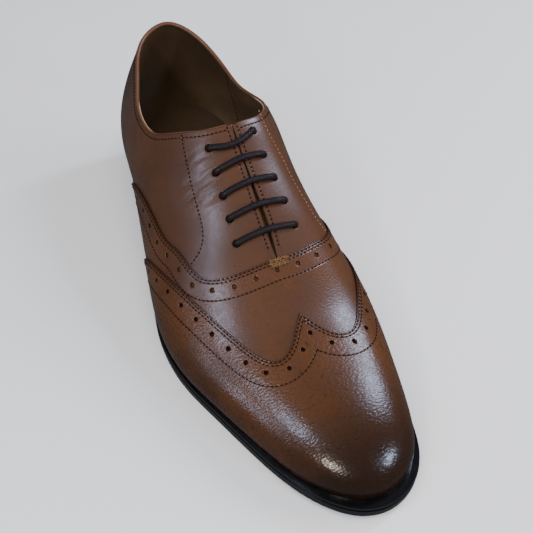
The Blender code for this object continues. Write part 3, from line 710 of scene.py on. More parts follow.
def joined_line(parts, count):
    """A line of several smooth parts that meet in corners, with even points in station and up."""
    fine = [dense_line(p, 200) if len(p) > 2 else np.linspace(p[0], p[-1], 200) for p in parts]
    fine = np.concatenate(fine)
    run = run_along(fine, STATION_WEIGHT)
    return read_line(fine, run, np.linspace(0, run[-1], count))


def grid_bmesh(columns, rows):
    """A flat grid, with its share along and across for each vertex."""
    bm = bmesh.new()
    bmesh.ops.create_grid(bm, x_segments=columns, y_segments=rows, size=0.5)
    shares = np.array([(v.co.x + 0.5, v.co.y + 0.5) for v in bm.verts])
    return bm, shares


def set_places(bm, points):
    for vertex, point in zip(bm.verts, points):
        vertex.co = point


def point_tree(points):
    """A tree that finds the nearest of many points."""
    tree = KDTree(len(points))
    for i, point in enumerate(points):
        tree.insert(point, i)
    tree.balance()
    return tree


def edge_map(bm, edge_points):
    """UV in millimetres: U runs along the edge, V is the distance from it."""
    run = run_along(edge_points)
    tree = point_tree(edge_points)
    layer = bm.loops.layers.uv.new("edge_map")
    for vertex in bm.verts:
        _, i, gap = tree.find(vertex.co)
        for loop in vertex.link_loops:
            loop[layer].uv = (run[i] / MM, gap / MM)


def panel_sheet(edge, foot, columns, rows, height, crowd):
    """A grid between a cut edge and a foot line. Crowd brings its rows closer to the edge."""
    bm, shares = grid_bmesh(columns, rows)
    run, goal = np.linspace(0, 1, len(edge)), shares[:, 0]
    share = (shares[:, 1] ** crowd)[:, None]
    chart = read_line(edge, run, goal) * (1 - share) + read_line(foot, run, goal) * share
    set_places(bm, skin(chart[:, 0], chart[:, 1], height)[0])
    return bm


def round_corners(thing, width, segments, degrees):
    bevel = thing.modifiers.new("rounded", "BEVEL")
    bevel.width, bevel.segments = width, segments
    bevel.limit_method, bevel.angle_limit = "ANGLE", math.radians(degrees)
    return bevel


def give_wall(thing, thickness, round_width):
    """Thicken a sheet inwards, and round its cut edge."""
    solid = thing.modifiers.new("wall", "SOLIDIFY")
    solid.thickness, solid.offset = thickness, -1
    round_corners(thing, round_width, 2, 50)
    freeze(thing)
    return thing


def panel(name, edge, foot, columns, rows, height, thickness, look):
    """A leather panel from a cut edge to a foot line, both in station and up."""
    bm = panel_sheet(edge, foot, columns, rows, height, 1.5)
    fine = read_line(edge, np.linspace(0, 1, len(edge)), np.linspace(0, 1, 3000))
    edge_map(bm, skin(fine[:, 0], fine[:, 1], height)[0])
    bmesh.ops.remove_doubles(bm, verts=bm.verts, dist=WELD)
    bmesh.ops.recalc_face_normals(bm, faces=bm.faces)
    middle = max(bm.faces, key=lambda f: f.calc_area())
    centre = middle.calc_center_median()
    if middle.normal.dot(centre - Vector((0, centre.y, 0.02))) < 0:
        bmesh.ops.reverse_faces(bm, faces=bm.faces)
    return give_wall(link(name, to_mesh(bm, name), look), thickness, thickness * 0.3)


# %% [markdown]
# The four outlines: the collar, the slit between the facings, the vamp's U-shaped edge and the
# wing's W-shaped edge. Each is a short table of places on the last, joined by a smooth curve.

# %% Outlines on the last
COLLAR = (
    (0.618, 0.975), (0.622, 0.900), (0.630, 0.825), (0.645, 0.745), (0.665, 0.657), (0.690, 0.583),
    (0.735, 0.540), (0.790, 0.537), (0.850, 0.553), (0.915, 0.577), (0.965, 0.582), (1.000, 0.584),
    (1.035, 0.581), (1.085, 0.564), (1.150, 0.532), (1.210, 0.525), (1.265, 0.548), (1.310, 0.610),
    (1.340, 0.690), (1.360, 0.770), (1.374, 0.850), (1.380, 0.920), (1.384, 0.975),
)
VAMP_OUTER = (
    (0.735, -0.004), (0.720, 0.180), (0.660, 0.330), (0.592, 0.412), (0.540, 0.458), (0.502, 0.522),
    (0.470, 0.556), (0.450, 0.592), (0.438, 0.643), (0.430, 0.709), (0.425, 0.787), (0.423, 0.880),
    (0.423, 1.000),
)
VAMP_INNER = (
    (1.577, 1.000), (1.576, 0.934), (1.573, 0.869), (1.568, 0.795), (1.560, 0.700), (1.546, 0.585),
    (1.525, 0.485), (1.489, 0.388), (1.440, 0.310), (1.383, 0.262), (1.331, 0.235), (1.290, 0.160),
    (1.282, -0.004),
)
WING_OUTER = (
    (0.590, -0.004), (0.580, 0.160), (0.540, 0.295), (0.508, 0.365), (0.455, 0.465), (0.415, 0.530),
    (0.375, 0.582), (0.335, 0.625), (0.295, 0.675), (0.280, 0.712), (0.273, 0.762), (0.275, 0.812),
    (0.286, 0.870), (0.305, 0.925), (0.333, 1.000),
)
WING_INNER = (
    (1.667, 1.000), (1.700, 0.930), (1.714, 0.880), (1.720, 0.820), (1.716, 0.746), (1.704, 0.682),
    (1.678, 0.608), (1.640, 0.525), (1.600, 0.430), (1.550, 0.320), (1.510, 0.180), (1.500, -0.004),
)
THROAT = 0.424
FOOT_UP = -0.004
SLIT_WIDTHS = ((0.00, 0.10), (0.06, 0.50), (0.22, 0.95), (0.45, 0.75), (0.62, 0.40), (1.00, 0.32))


def slit_line(top, inner):
    """One edge of the slit in station and up, from the throat to the collar."""
    line = []
    for share, half in SLIT_WIDTHS:
        station = THROAT + (top - THROAT) * share
        wide = skin([station, station], [0.9, 1.0])[0]
        per_up = np.linalg.norm(wide[1] - wide[0]) / 0.1
        line.append((2 - station if inner else station, 1 - half * MM / per_up))
    return line


# %% Vamp and wing cap
def toe_foot(edge, share_on_seam):
    """Foot line for a panel that covers the toe: along the sole, then up the toe's middle line."""
    start = edge[0][0]
    end = round(start / 2) * 2 if start > 1 else 0.0
    turn = int(len(edge) * (1 - share_on_seam))
    rest = len(edge) - turn
    sole = np.stack([np.linspace(start, end, turn), np.full(turn, FOOT_UP)], 1)
    seam = np.stack([np.full(rest, end), np.linspace(FOOT_UP, 1, rest + 1)[1:]], 1)
    return np.concatenate([sole, seam])


def toe_panel(name, outer, inner, height, look, seam_share, columns, rows):
    """Both halves of a panel over the toe, welded on the ridge and on the toe's middle line."""
    edges = [joined_line([table], 1200) for table in (outer, inner[::-1])]
    bm_all = bmesh.new()
    for edge in edges:
        foot = toe_foot(edge, seam_share)
        if edge[0][0] > 1:
            foot[:, 0] = np.where(foot[:, 0] > 1, foot[:, 0], 2.0)
        half = to_mesh(panel_sheet(edge, foot, columns, rows, height, 1.4), "half")
        bm_all.from_mesh(half)
        bpy.data.meshes.remove(half)
    bmesh.ops.remove_doubles(bm_all, verts=bm_all.verts, dist=2 * WELD)
    line = np.concatenate([edges[0], edges[1][::-1]])
    edge_map(bm_all, skin(line[:, 0], line[:, 1], height)[0])
    bmesh.ops.recalc_face_normals(bm_all, faces=bm_all.faces)
    top = max(bm_all.faces, key=lambda f: f.calc_center_median().z)
    if top.normal.z < 0:
        bmesh.ops.reverse_faces(bm_all, faces=bm_all.faces)
    thing = link(name, to_mesh(bm_all, name), look)
    return give_wall(thing, OVERLAY, 0.28 * MM)


OVERLAY = LEATHER * 0.9
VAMP_HEIGHT, WING_HEIGHT = 1.05 * MM, 2.10 * MM
vamp = toe_panel("vamp_panel", VAMP_OUTER, VAMP_INNER, VAMP_HEIGHT, VAMP_HIDE, 0.30, 190, 60)
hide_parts("vamp")
wing = toe_panel("wing_panel", WING_OUTER, WING_INNER, WING_HEIGHT, WING_HIDE, 0.35, 200, 56)
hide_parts("wing_cap")
print("vamp", len(vamp.data.polygons), "wing", len(wing.data.polygons))


# %% [markdown]
# The quarters are the back half of the upper. Each runs from the slit and the collar down to the
# sole, and its front end lies hidden under the vamp. Both meet in a seam at the back of the heel.

# %% Quarters and lining
COLLAR_HALF = 11
QUARTER_FRONT = 0.30
FOOT_SHARES = ((0.0, 0.0), (0.10, 0.08), (0.45, 0.42), (0.62, 0.60), (1.0, 1.0))
LINING, LINING_GAP = 0.55 * MM, 0.03 * MM


def quarter_lines(inner):
    """Edge and foot line of one quarter, from the throat to the back seam."""
    collar = list(COLLAR[:COLLAR_HALF - 1:-1] if inner else COLLAR[:COLLAR_HALF + 1])
    slit = slit_line(2 - collar[0][0] if inner else collar[0][0], inner)
    ahead = 2 - QUARTER_FRONT if inner else QUARTER_FRONT
    edge = joined_line([[(ahead, 1.0), slit[0]], slit, collar], 1600)
    foot_station = np.interp(np.linspace(0, 1, len(edge)), column(FOOT_SHARES, 0),
                             [ahead + (1 - ahead) * share for share in column(FOOT_SHARES, 1)])
    return edge, np.stack([foot_station, np.full(len(edge), FOOT_UP)], 1)


def add_quarters(name, columns, rows, height, thickness, look):
    """The outer and the inner one of a pair."""
    made = []
    for side, inner in (("outer", False), ("inner", True)):
        edge, foot = quarter_lines(inner)
        made.append(panel(f"{name}_{side}", edge, foot, columns, rows, height, thickness, look))
    return made


quarters = add_quarters("quarter", 300, 64, 0.0, LEATHER, QUARTER_HIDE)
linings = add_quarters("lining", 200, 40, -LEATHER - LINING_GAP, LINING, LINING_HIDE)
for piece in quarters + linings:
    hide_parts("upper")
print("quarter", len(quarters[0].data.polygons), "lining", len(linings[0].data.polygons))


# %% [markdown]
# The sole is a stack: outsole, welt and, at the back, the heel. Each layer is a grid of rungs
# across the shoe, drawn down to its thickness, with its corners rounded by a bevel.

# %% Sole layers
def rung_grid(edges, height_at, across):
    """Points over rungs between a left and a right edge line in plan."""
    shares = np.linspace(0, 1, across + 1)
    plan = edges[:, :1] * (1 - shares)[None, :, None] + edges[:, 1:] * shares[None, :, None]
    up = height_at(-plan[:, :, 1].ravel()).reshape(plan.shape[:2])
    return np.concatenate([plan, up[:, :, None]], 2) + SHIFT


def layer(name, low, high, look, slot, bevel, segments):
    """A closed layer between two matching grids, made by extruding the upper one."""
    rows, across = low.shape[0] - 1, low.shape[1] - 1
    bm, shares = grid_bmesh(rows, across)
    index = np.rint(shares * (rows, across)).astype(int)
    upper, lower = high[index[:, 0], index[:, 1]], low[index[:, 0], index[:, 1]]
    set_places(bm, upper)
    made = bmesh.ops.extrude_face_region(bm, geom=list(bm.faces))
    new = [g for g in made["geom"] if isinstance(g, bmesh.types.BMVert)]
    tree = point_tree(upper)
    for vertex in new:
        vertex.co = lower[tree.find(vertex.co)[1]]
    bmesh.ops.remove_doubles(bm, verts=bm.verts, dist=WELD)
    bmesh.ops.recalc_face_normals(bm, faces=bm.faces)
    thing = link(name, to_mesh(bm, name), look)
    round_corners(thing, bevel, segments, 45).harden_normals = True
    freeze(thing)
    print(name, len(thing.data.polygons), "faces")
    return thing


def rung_stations(count):
    """Stations of the rungs' outer ends, closer together at the toe and the heel."""
    return (1 - np.cos(np.linspace(0, np.pi, count + 1))) / 2


def sole_sheet(inset, lift):
    stations = rung_stations(150)
    edges = np.stack([sole_edge(stations, inset), sole_edge(2 - stations, inset)], 1)
    return rung_grid(edges, lambda along: under(along) + lift, 8)


WELT_INSET, SOCK_INSET = 0.35 * MM, 2.2 * MM
OUTSOLE_ROUND, WELT_ROUND = 1.1 * MM, 1.25 * MM
outsole = layer("outsole_layer", sole_sheet(0.0, 0.0), sole_sheet(0.0, OUTSOLE),
                EDGE_INK, "sole_edge_black", OUTSOLE_ROUND, 5)
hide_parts("outsole")
welt = layer("welt_layer", sole_sheet(WELT_INSET, OUTSOLE + 0.02 * MM),
             sole_sheet(WELT_INSET, OUTSOLE + GAP + WELT), EDGE_INK, "sole_edge_black", WELT_ROUND, 6)
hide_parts("welt")


def sock_sheet(lift):
    lines = []
    for side in (rung_stations(120), 2 - rung_stations(120)):
        points, outward, _ = feather(side)
        lines.append(points[:, :2] - outward * SOCK_INSET)
    return rung_grid(np.stack(lines, 1), lambda along: under(along) + lift, 12)


sock = layer("insole_sock", sock_sheet(SOLE_STACK), sock_sheet(SOLE_STACK + INSOLE),
             SOCK_HIDE, "lining_leather", 0.5 * MM, 2)
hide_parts("insole")


# %% Heel
BREAST_BOW, BREAST_RUNGS = 3.0 * MM, 12.0
RUBBER_INSETS, STACK_INSETS = (2.6 * MM, 2.4 * MM), (2.2 * MM, 1.0 * MM)


def heel_edges(inset):
    stations = np.linspace(0.6, 1, 400)
    front = np.interp(-HEEL_LENGTH, -SECTION_AT(stations)[:, 0], stations)
    stations = front + (1 - front) * np.sin(np.linspace(0, np.pi / 2, 61))
    edges = np.stack([sole_edge(stations, inset), sole_edge(2 - stations, inset)], 1)
    edges[0, :, 1] = -HEEL_LENGTH + inset
    return edges


def heel_sheet(inset, height_at):
    """The heel's breast is hollow: its first rungs bend back in the middle."""
    grid = rung_grid(heel_edges(inset), height_at, 16)
    shares = np.linspace(0, 1, 17)
    fade = np.clip(1 - np.arange(len(grid)) / BREAST_RUNGS, 0, 1)
    grid[:, :, 1] += fade[:, None] * (BREAST_BOW * (1 - (2 * shares - 1) ** 2))[None, :]
    return grid


def level(height):
    return lambda along: np.full(len(along), height)


top_piece = layer("heel_rubber_piece", heel_sheet(RUBBER_INSETS[0], level(0.0)),
                  heel_sheet(RUBBER_INSETS[1], level(TOP_PIECE)), HEEL_RUBBER, "heel_rubber", 0.5 * MM, 3)
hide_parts("heel_top_piece")
stack = layer("heel_stack_block", heel_sheet(STACK_INSETS[0], level(TOP_PIECE + 0.1 * MM)),
              heel_sheet(STACK_INSETS[1], lambda along: under(along) - 0.05 * MM),
              EDGE_INK, "sole_edge_black", 0.4 * MM, 3)
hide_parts("heel_stack")


# %% [markdown]
# Stitches are real thread here: each is a small rounded grain that lies half in its groove. A row
# is a line at a constant distance from a panel's edge, walked on the surface of the last.

# %% Rows at a distance from an edge
ROW_STEP, KEPT_SHARE = 0.5 * MM, 0.94


def last_tree():
    """The last surface as a tree for finding the nearest point."""
    stations, ups = np.linspace(0, 2, 401), np.linspace(0, 1, 91)
    bm, shares = grid_bmesh(400, 90)
    set_places(bm, last_point(shares[:, 0] * 2, shares[:, 1]))
    bm.normal_update()
    tree = BVHTree.FromBMesh(bm)
    bm.free()
    return tree


LAST_TREE = last_tree()


def outward_at(point):
    """The last's outward direction near a point."""
    place, normal, _, _ = LAST_TREE.find_nearest(point)
    if normal.dot(place - Vector((0, place.y, 0.02))) < 0:
        normal = -normal
    return place, normal


def resample(points, pitch):
    """Points at an even pitch along a line."""
    points = np.array(points)
    run = run_along(points)
    count = max(2, int(round(run[-1] / pitch)) + 1)
    return read_line(points, run, np.linspace(0, run[-1], count))


def inset_row(chart, distance, side):
    """Points on the last at a distance from an edge line, on the given side of it. Points that
    another part of the edge comes too close to are left out, so a row doesn't cross itself."""
    line = resample(skin(chart[:, 0], chart[:, 1])[0], ROW_STEP)
    tree = point_tree(line)
    row = []
    for i in range(1, len(line) - 1):
        tangent = Vector(line[i + 1] - line[i - 1]).normalized()
        place, normal = outward_at(Vector(line[i]))
        goal, _ = outward_at(place + normal.cross(tangent) * side * distance)
        if tree.find(goal)[2] > distance * KEPT_SHARE:
            row.append(goal)
    return row


def cut_jumps(row, most):
    """Split a row where it jumps, and keep its parts."""
    parts, now = [], [row[0]]
    for a, b in zip(row, row[1:]):
        if (b - a).length > most:
            parts.append(now)
            now = []
        now.append(b)
    return [p for p in parts + [now] if len(p) > 3]


def stitch_points(bm, row, pitch, length, radius, lift):
    """Add a row of stitches along a line of points."""
    points = resample(row, pitch)
    for a, b in zip(points, points[1:]):
        middle, normal = outward_at(Vector((a + b) / 2))
        along = Vector(b - a).normalized()
        side = normal.cross(along).normalized()
        top = along.cross(side)
        turn = Matrix((along, side, top)).transposed().to_4x4()
        size = Matrix.Diagonal((length / 2, radius, radius * 0.8, 1))
        bmesh.ops.create_icosphere(bm, subdivisions=1, radius=1.0,
                                   matrix=Matrix.Translation(middle + normal * lift) @ turn @ size)


def stitch_piece(name, rows, look):
    """One piece of several rows: (points, lift)."""
    bm = bmesh.new()
    for row, lift in rows:
        stitch_points(bm, row, STITCH_PITCH, STITCH_LENGTH, STITCH_RADIUS, lift)
    print(name, len(bm.verts) // GRAIN_VERTS, "stitches")
    return link(name, to_mesh(bm, name), look)


GRAIN_VERTS = 12
STITCH_PITCH, STITCH_LENGTH, STITCH_RADIUS = 2.35 * MM, 1.65 * MM, 0.43 * MM
VAMP_LINE = np.concatenate([joined_line([VAMP_OUTER], 900), joined_line([VAMP_INNER], 900)])
WING_LINE = np.concatenate([joined_line([WING_OUTER], 900), joined_line([WING_INNER], 900)])
COLLAR_LINE = joined_line([COLLAR], 1600)


def side_of(line, foot):
    """Which side of a line the given place of the last lies on."""
    pair = line[len(line) // 3:len(line) // 3 + 2]
    middle = skin(pair[:, 0], pair[:, 1])[0]
    tangent = Vector(middle[1] - middle[0]).normalized()
    place, normal = outward_at(Vector(middle[0]))
    goal = Vector(skin([foot[0]], [foot[1]])[0][0])
    return 1 if normal.cross(tangent).dot(goal - place) > 0 else -1


VAMP_SIDE = side_of(VAMP_LINE, (0.30, 0.3))
WING_SIDE = side_of(WING_LINE, (0.20, 0.3))
COLLAR_SIDE = side_of(COLLAR_LINE, (0.80, 0.2))

# %% Stitch rows of the vamp, the wing cap and the collar
EDGE_ROWS = (0.9 * MM, 2.4 * MM)
VAMP_BAND, WING_BAND = 11.5 * MM, 12.7 * MM
COLLAR_ROW = 2.8 * MM
THREAD_LIFT, LONGEST_STEP = 0.02 * MM, 3 * MM
rows = []
for line, side, height, distances in ((VAMP_LINE, VAMP_SIDE, VAMP_HEIGHT, (*EDGE_ROWS, VAMP_BAND)),
                                      (WING_LINE, WING_SIDE, WING_HEIGHT, (*EDGE_ROWS, WING_BAND)),
                                      (COLLAR_LINE, COLLAR_SIDE, 0.0, (COLLAR_ROW,))):
    for distance in distances:
        parts = cut_jumps(inset_row(line, distance, side), LONGEST_STEP)
        rows += [(part, height + THREAD_LIFT) for part in parts]
stitch_piece("dark_stitches", rows, DARK_THREAD)

# %% [markdown]
# The facings are marked by one more row on each quarter, curved out at its lower end. A row runs
# beside each edge of the slit too. The inner side's row has a lighter thread.

# %% Stitch rows of the facings
FACING_OUTER = (
    (0.645, 0.736), (0.621, 0.721), (0.594, 0.708), (0.557, 0.692), (0.522, 0.684), (0.500, 0.672),
    (0.486, 0.645), (0.479, 0.610), (0.474, 0.535),
)
FACING_INNER = (
    (1.356, 0.795), (1.397, 0.786), (1.433, 0.742), (1.465, 0.722), (1.500, 0.680), (1.524, 0.640),
    (1.538, 0.585), (1.542, 0.530),
)


def chart_row(table):
    line = joined_line([table], 400)
    return [Vector(p) for p in skin(line[:, 0], line[:, 1])[0]]


SLIT_ROW, SLIT_LIFT, FACING_LIFT = 2.4 * MM, 0.12 * MM, 0.16 * MM
facing_rows = [(chart_row(FACING_OUTER), FACING_LIFT)]
for top, inner, place in ((COLLAR[0][0], False, (0.52, 0.7)), (2 - COLLAR[-1][0], True, (1.48, 0.7))):
    line = joined_line([slit_line(top, inner)[1:]], 400)
    facing_rows.append((inset_row(line, SLIT_ROW, side_of(line, place)), SLIT_LIFT))
stitch_piece("facing_stitches", facing_rows, DARK_THREAD)
stitch_piece("tan_stitches", [(chart_row(FACING_INNER), THREAD_LIFT)], TAN_THREAD)


# %% [markdown]
# Punched holes run down the middle of each band. They are real holes: small tapered punches are
# joined into one cutter and taken out of the panel. A disc below each is the floor of the hole:
# brown in the vamp, like the leather under it, and black in the wing cap, as painted shade over
# the vamp leather below.

# %% Punched holes
PUNCH_ROW, PUNCH_DEPTH, PUNCH_ABOVE = 6.0 * MM, 1.6 * MM, 0.3 * MM
PUNCH_TAPER = (0.70, 1.08)
HOLE_PITCH, HOLE_RADIUS = 11.9 * MM, 1.25 * MM
WING_LOWEST, VAMP_LOWEST = 18 * MM, 24 * MM


def cones(name, points, sides, low_radius, top_radius, depth, height):
    """A mesh of short cones that stand on the last."""
    bm = bmesh.new()
    for point in points:
        place, normal = outward_at(Vector(point))
        turn = normal.to_track_quat("Z", "Y").to_matrix().to_4x4()
        bmesh.ops.create_cone(bm, cap_ends=True, segments=sides, radius1=low_radius, radius2=top_radius,
                              depth=depth, matrix=Matrix.Translation(place + normal * height) @ turn)
    return to_mesh(bm, name)


def punch(thing, points, radius, height, depth):
    middle = height - depth / 2 + PUNCH_ABOVE
    tip, top = radius * PUNCH_TAPER[0], radius * PUNCH_TAPER[1]
    mesh = cones("punches", points, 14, tip, top, depth, middle)
    cutter = bpy.data.objects.new("cutter", mesh)
    bpy.context.scene.collection.objects.link(cutter)
    cut = thing.modifiers.new("holes", "BOOLEAN")
    cut.operation, cut.solver, cut.object = "DIFFERENCE", "EXACT", cutter
    bpy.context.view_layer.update()
    freeze(thing)
    bpy.data.objects.remove(cutter, do_unlink=True)


def band_points(line, side, lowest):
    """Hole places along the middle of a band, down to the lowest height."""
    parts = cut_jumps(inset_row(line, PUNCH_ROW, side), 2 * LONGEST_STEP)
    return [p for p in resample([p for part in parts for p in part], HOLE_PITCH) if p[2] > lowest]


wing_holes = band_points(WING_LINE, WING_SIDE, WING_LOWEST)
vamp_holes = band_points(VAMP_LINE, VAMP_SIDE, VAMP_LOWEST)
punch(wing, wing_holes, HOLE_RADIUS, WING_HEIGHT, PUNCH_DEPTH)
punch(vamp, vamp_holes, HOLE_RADIUS, VAMP_HEIGHT, PUNCH_DEPTH)
print("holes:", len(wing_holes), len(vamp_holes))


# %% Eyelet places
EYELETS, EYELET_RADIUS, EYELET_DEPTH = 5, 2.1 * MM, 3.0 * MM
OUTER_EYELETS = ((0.600, 0.846), (0.461, 0.818))
INNER_EYELETS = ((1.396, 0.898), (1.538, 0.850))


def eyelets(ends):
    return [tuple(np.array(ends[0]) * (1 - t) + np.array(ends[1]) * t) for t in np.linspace(0, 1, EYELETS)]


for pair in (quarters, linings):
    for thing, ends in zip(pair, (OUTER_EYELETS, INNER_EYELETS)):
        places = np.array(eyelets(ends))
        punch(thing, skin(places[:, 0], places[:, 1])[0], EYELET_RADIUS, 0.0, EYELET_DEPTH)


# %% Discs under the punched holes
DISC_RADIUS, DISC_THICKNESS = HOLE_RADIUS * 1.1, 0.12 * MM
WING_DISCS_AT, VAMP_DISCS_AT = VAMP_HEIGHT + 0.1 * MM, 0.35 * MM


def hole_floor_discs(name, points, height, look):
    mesh = cones(name, points, 12, DISC_RADIUS, DISC_RADIUS, DISC_THICKNESS, height)
    link(name, mesh, look)


# The wing's discs are painted shade; the vamp's are the brown of the leather below.
hole_floor_discs("wing_hole_shade_discs", wing_holes, WING_DISCS_AT, HOLE_SHADE)
hole_floor_discs("vamp_hole_backs", vamp_holes, VAMP_DISCS_AT, HOLE_BROWN)


# %% [markdown]
# The lace is one waxed cord in straight bars. It comes out of one eyelet, crosses the slit and
# goes into the other, and climbs to the next pair inside, out of sight.

# %% Lace route
BAR_SHARES = (0.12, 0.28, 0.5, 0.72, 0.88)
LACE_ROOM, LACE_TURN = 0.45 * MM, 2.5 * MM
LACE_MOUTH, BAR_ARCH = 0.6 * MM, 0.15 * MM
LACE_ASIDE = 0.055
TOP_BAR_SLACK = 0.013
LACE_DEPTH = WALL + LACE_ROOM + LACE_RADIUS


def surface(place, height):
    return Vector(skin([place[0]], [place[1]], height)[0][0])


def towards(start, end, distance):
    """The place at a distance from the start, on the way to the end."""
    a, b = np.array(start), np.array(end)
    length = (surface(start, 0) - surface(end, 0)).length
    return tuple(a + (b - a) * distance / length)


def lace_route():
    outer, inner = eyelets(OUTER_EYELETS), eyelets(INNER_EYELETS)
    over, mouth = LACE_RADIUS * 0.92, LACE_MOUTH
    route = [surface(inner[0], -LACE_DEPTH)]
    sides = (inner, outer)
    for row in range(EYELETS):
        start, end = sides[row % 2][row], sides[(row + 1) % 2][row]
        far = (2 - end[0], 2 - end[1])
        route += [surface(start, -WALL - mouth), surface(start, mouth * 0.5)]
        slack = (TOP_BAR_SLACK if row == 0 else 0.0) * (1 if start[0] > 1 else -1)
        for share in BAR_SHARES:
            place = np.array(start) * (1 - share) + np.array(far) * share
            place[0] += slack * math.sin(math.pi * share)
            arch = BAR_ARCH * math.sin(math.pi * share)
            route.append(surface(place, over + arch))
        route += [surface(end, mouth * 0.5), surface(end, -WALL - mouth)]
        if row + 1 < EYELETS:
            after = sides[(row + 1) % 2][row + 1]
            route += [surface(towards(end, after, LACE_TURN), -LACE_DEPTH),
                      surface(towards(after, end, LACE_TURN), -LACE_DEPTH)]
    for row in range(EYELETS - 1, -1, -1):
        station, up = outer[row]
        route.append(surface((station, up - LACE_ASIDE), -LACE_DEPTH))
    return route


# %% Lace cord
CORD_RADIUS, CORD_STEP = 1.72 * MM, 0.6 * MM
STRANDS, STRAND_LEAN = 8.0, 0.55
BRAID_HEIGHT, DUST_HEIGHT = 0.30 * MM, 0.05 * MM


def cord_material():
    """Waxed round braid: strands cross in both directions round the cord."""
    made, w, shader = new_look("waxed_braid")
    uv = w.node("ShaderNodeSeparateXYZ", Vector=w.node("ShaderNodeTexCoord").outputs["UV"])
    across, along = uv.outputs["X"], uv.outputs["Y"]
    strands = []
    for lean in (1.0, -1.0):
        climb = w.math("MULTIPLY", along, STRAND_LEAN * lean)
        turn = w.math("ADD", w.math("MULTIPLY", across, STRANDS), climb)
        strands.append(w.math("ABSOLUTE", w.math("SINE", w.math("MULTIPLY", turn, math.pi))))
    weave = w.math("MAXIMUM", strands[0], strands[1])
    dust = w.noise(w.place(), 700.0, 3.0, 0.6)
    braid, dirt = w.math("MULTIPLY", weave, BRAID_HEIGHT), w.math("MULTIPLY", dust, DUST_HEIGHT)
    height = w.math("ADD", braid, dirt)
    color = w.mix(w.ramp(weave, 0.45, 1.0), (0.002, 0.001, 0.001), (0.011, 0.006, 0.007))
    color = w.mix(w.ramp(dust, 0.55, 0.8, 0.0, 0.25), color, (0.030, 0.022, 0.024))
    w.fill(shader, Base_Color=color, Roughness=w.ramp(weave, 0.4, 1.0, 0.65, 0.40),
           Normal=w.bump(height))
    return made


def tube(name, points, radius, sides, look):
    """A tube swept along even points, from a flat grid rolled round the line."""
    points = np.array(points)
    count = len(points) - 1
    bm, shares = grid_bmesh(count, sides)
    tangent = unit(np.gradient(points, axis=0))
    side = np.zeros_like(points)
    now = np.cross(tangent[0], (0, 0, 1.0))
    for i in range(len(points)):
        now = now - tangent[i] * (now @ tangent[i])
        now = now / np.linalg.norm(now)
        side[i] = now
    top = np.cross(tangent, side)
    i = np.rint(shares[:, 0] * count).astype(int)
    angle = shares[:, 1] * 2 * np.pi
    reach = np.broadcast_to(radius, len(points))[i][:, None]
    around = side[i] * np.cos(angle)[:, None] + top[i] * np.sin(angle)[:, None]
    set_places(bm, points[i] + reach * around)
    run = run_along(points) / MM
    bm.verts.ensure_lookup_table()
    layer_uv = bm.loops.layers.uv.new("braid")
    for k, vertex in enumerate(bm.verts):
        for loop in vertex.link_loops:
            loop[layer_uv].uv = (shares[k, 1], run[i[k]])
    bmesh.ops.remove_doubles(bm, verts=bm.verts, dist=WELD / 2)
    bmesh.ops.holes_fill(bm, edges=[e for e in bm.edges if e.is_boundary], sides=sides + 1)
    bmesh.ops.recalc_face_normals(bm, faces=bm.faces)
    return link(name, to_mesh(bm, name), look)


route = np.array(lace_route())
steps = run_along(route)
lace_points = resample(spline(steps, route)(np.linspace(0, steps[-1], 2500)), CORD_STEP)
lace = tube("lace_cord", lace_points, CORD_RADIUS, 20, cord_material())
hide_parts("lace")
print("lace length", round(float(steps[-1]), 3), "m in the shoe")


# %% [markdown]
# The tongue lies under the facings. Only its top edge and a strip in the slit show.

# %% Tongue
TONGUE_ROWS = (
    (0.392, 0.16, 0.00), (0.416, 0.19, 0.69), (0.440, 0.23, 1.00), (0.500, 0.27, 1.00),
    (0.550, 0.29, 1.00), (0.590, 0.30, 1.00), (0.613, 0.28, 1.00), (0.624, 0.22, 1.00),
)
TONGUE, TONGUE_COLUMNS = 1.5 * MM, 33
TONGUE_DEPTH = LACE_DEPTH + LACE_RADIUS + 1.2 * MM


def tongue_sheet(extra):
    table = spline(range(len(TONGUE_ROWS)), TONGUE_ROWS)(np.linspace(0, len(TONGUE_ROWS) - 1, 71))
    sheet = []
    for station, half, share in table:
        depth = WALL + GAP + (TONGUE_DEPTH - WALL - GAP) * min(max(share, 0), 1)
        ups = 1 + half * np.linspace(-1, 1, TONGUE_COLUMNS)
        sheet.append(skin(np.full(TONGUE_COLUMNS, station), ups, -depth - extra)[0])
    return np.array(sheet)


tongue = layer("tongue_leather", tongue_sheet(TONGUE), tongue_sheet(0.0),
               TONGUE_HIDE, "lining_leather", 0.45 * MM, 3)
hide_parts("tongue")

# %% [markdown]
# The collar is a folded edge: the leather is turned over a tape, so it ends in a soft round bead.
# Inside it, the cut edge of the lining shows as a thin cream line.

# %% Collar bead and lining edge
COLLAR_BACK = (0.090, 0.130)
BEAD_RADII, BEAD_DEPTH, BEAD_RISE = (0.75 * MM, 1.25 * MM), -0.75 * MM, -0.15 * MM
CREAM_RADIUS, CREAM_DEPTH, CREAM_RISE = 0.36 * MM, -1.66 * MM, 0.10 * MM
FOLD_START, FOLD_SLANT = (0.080, 0.088), 0.35
FOLD_BROWN = (0.080, 0.038, 0.018)


def cream_edge():
    """Raw cream edge at the sides, under a brown fold at the back of the collar."""
    made = leather("cream_edge", (0.46, 0.35, 0.23), (0.20, 0.13, 0.08), 0.6, 0.3, 0.0)
    w = Wires(made.node_tree)
    color = made.node_tree.nodes["Principled BSDF"].inputs["Base Color"]
    xyz = w.node("ShaderNodeSeparateXYZ", Vector=w.place())
    along = w.math("ADD", xyz.outputs["Y"], w.math("MULTIPLY", xyz.outputs["X"], FOLD_SLANT))
    w.put(color, w.mix(w.ramp(along, *FOLD_START), color.links[0].from_socket, FOLD_BROWN))
    return made


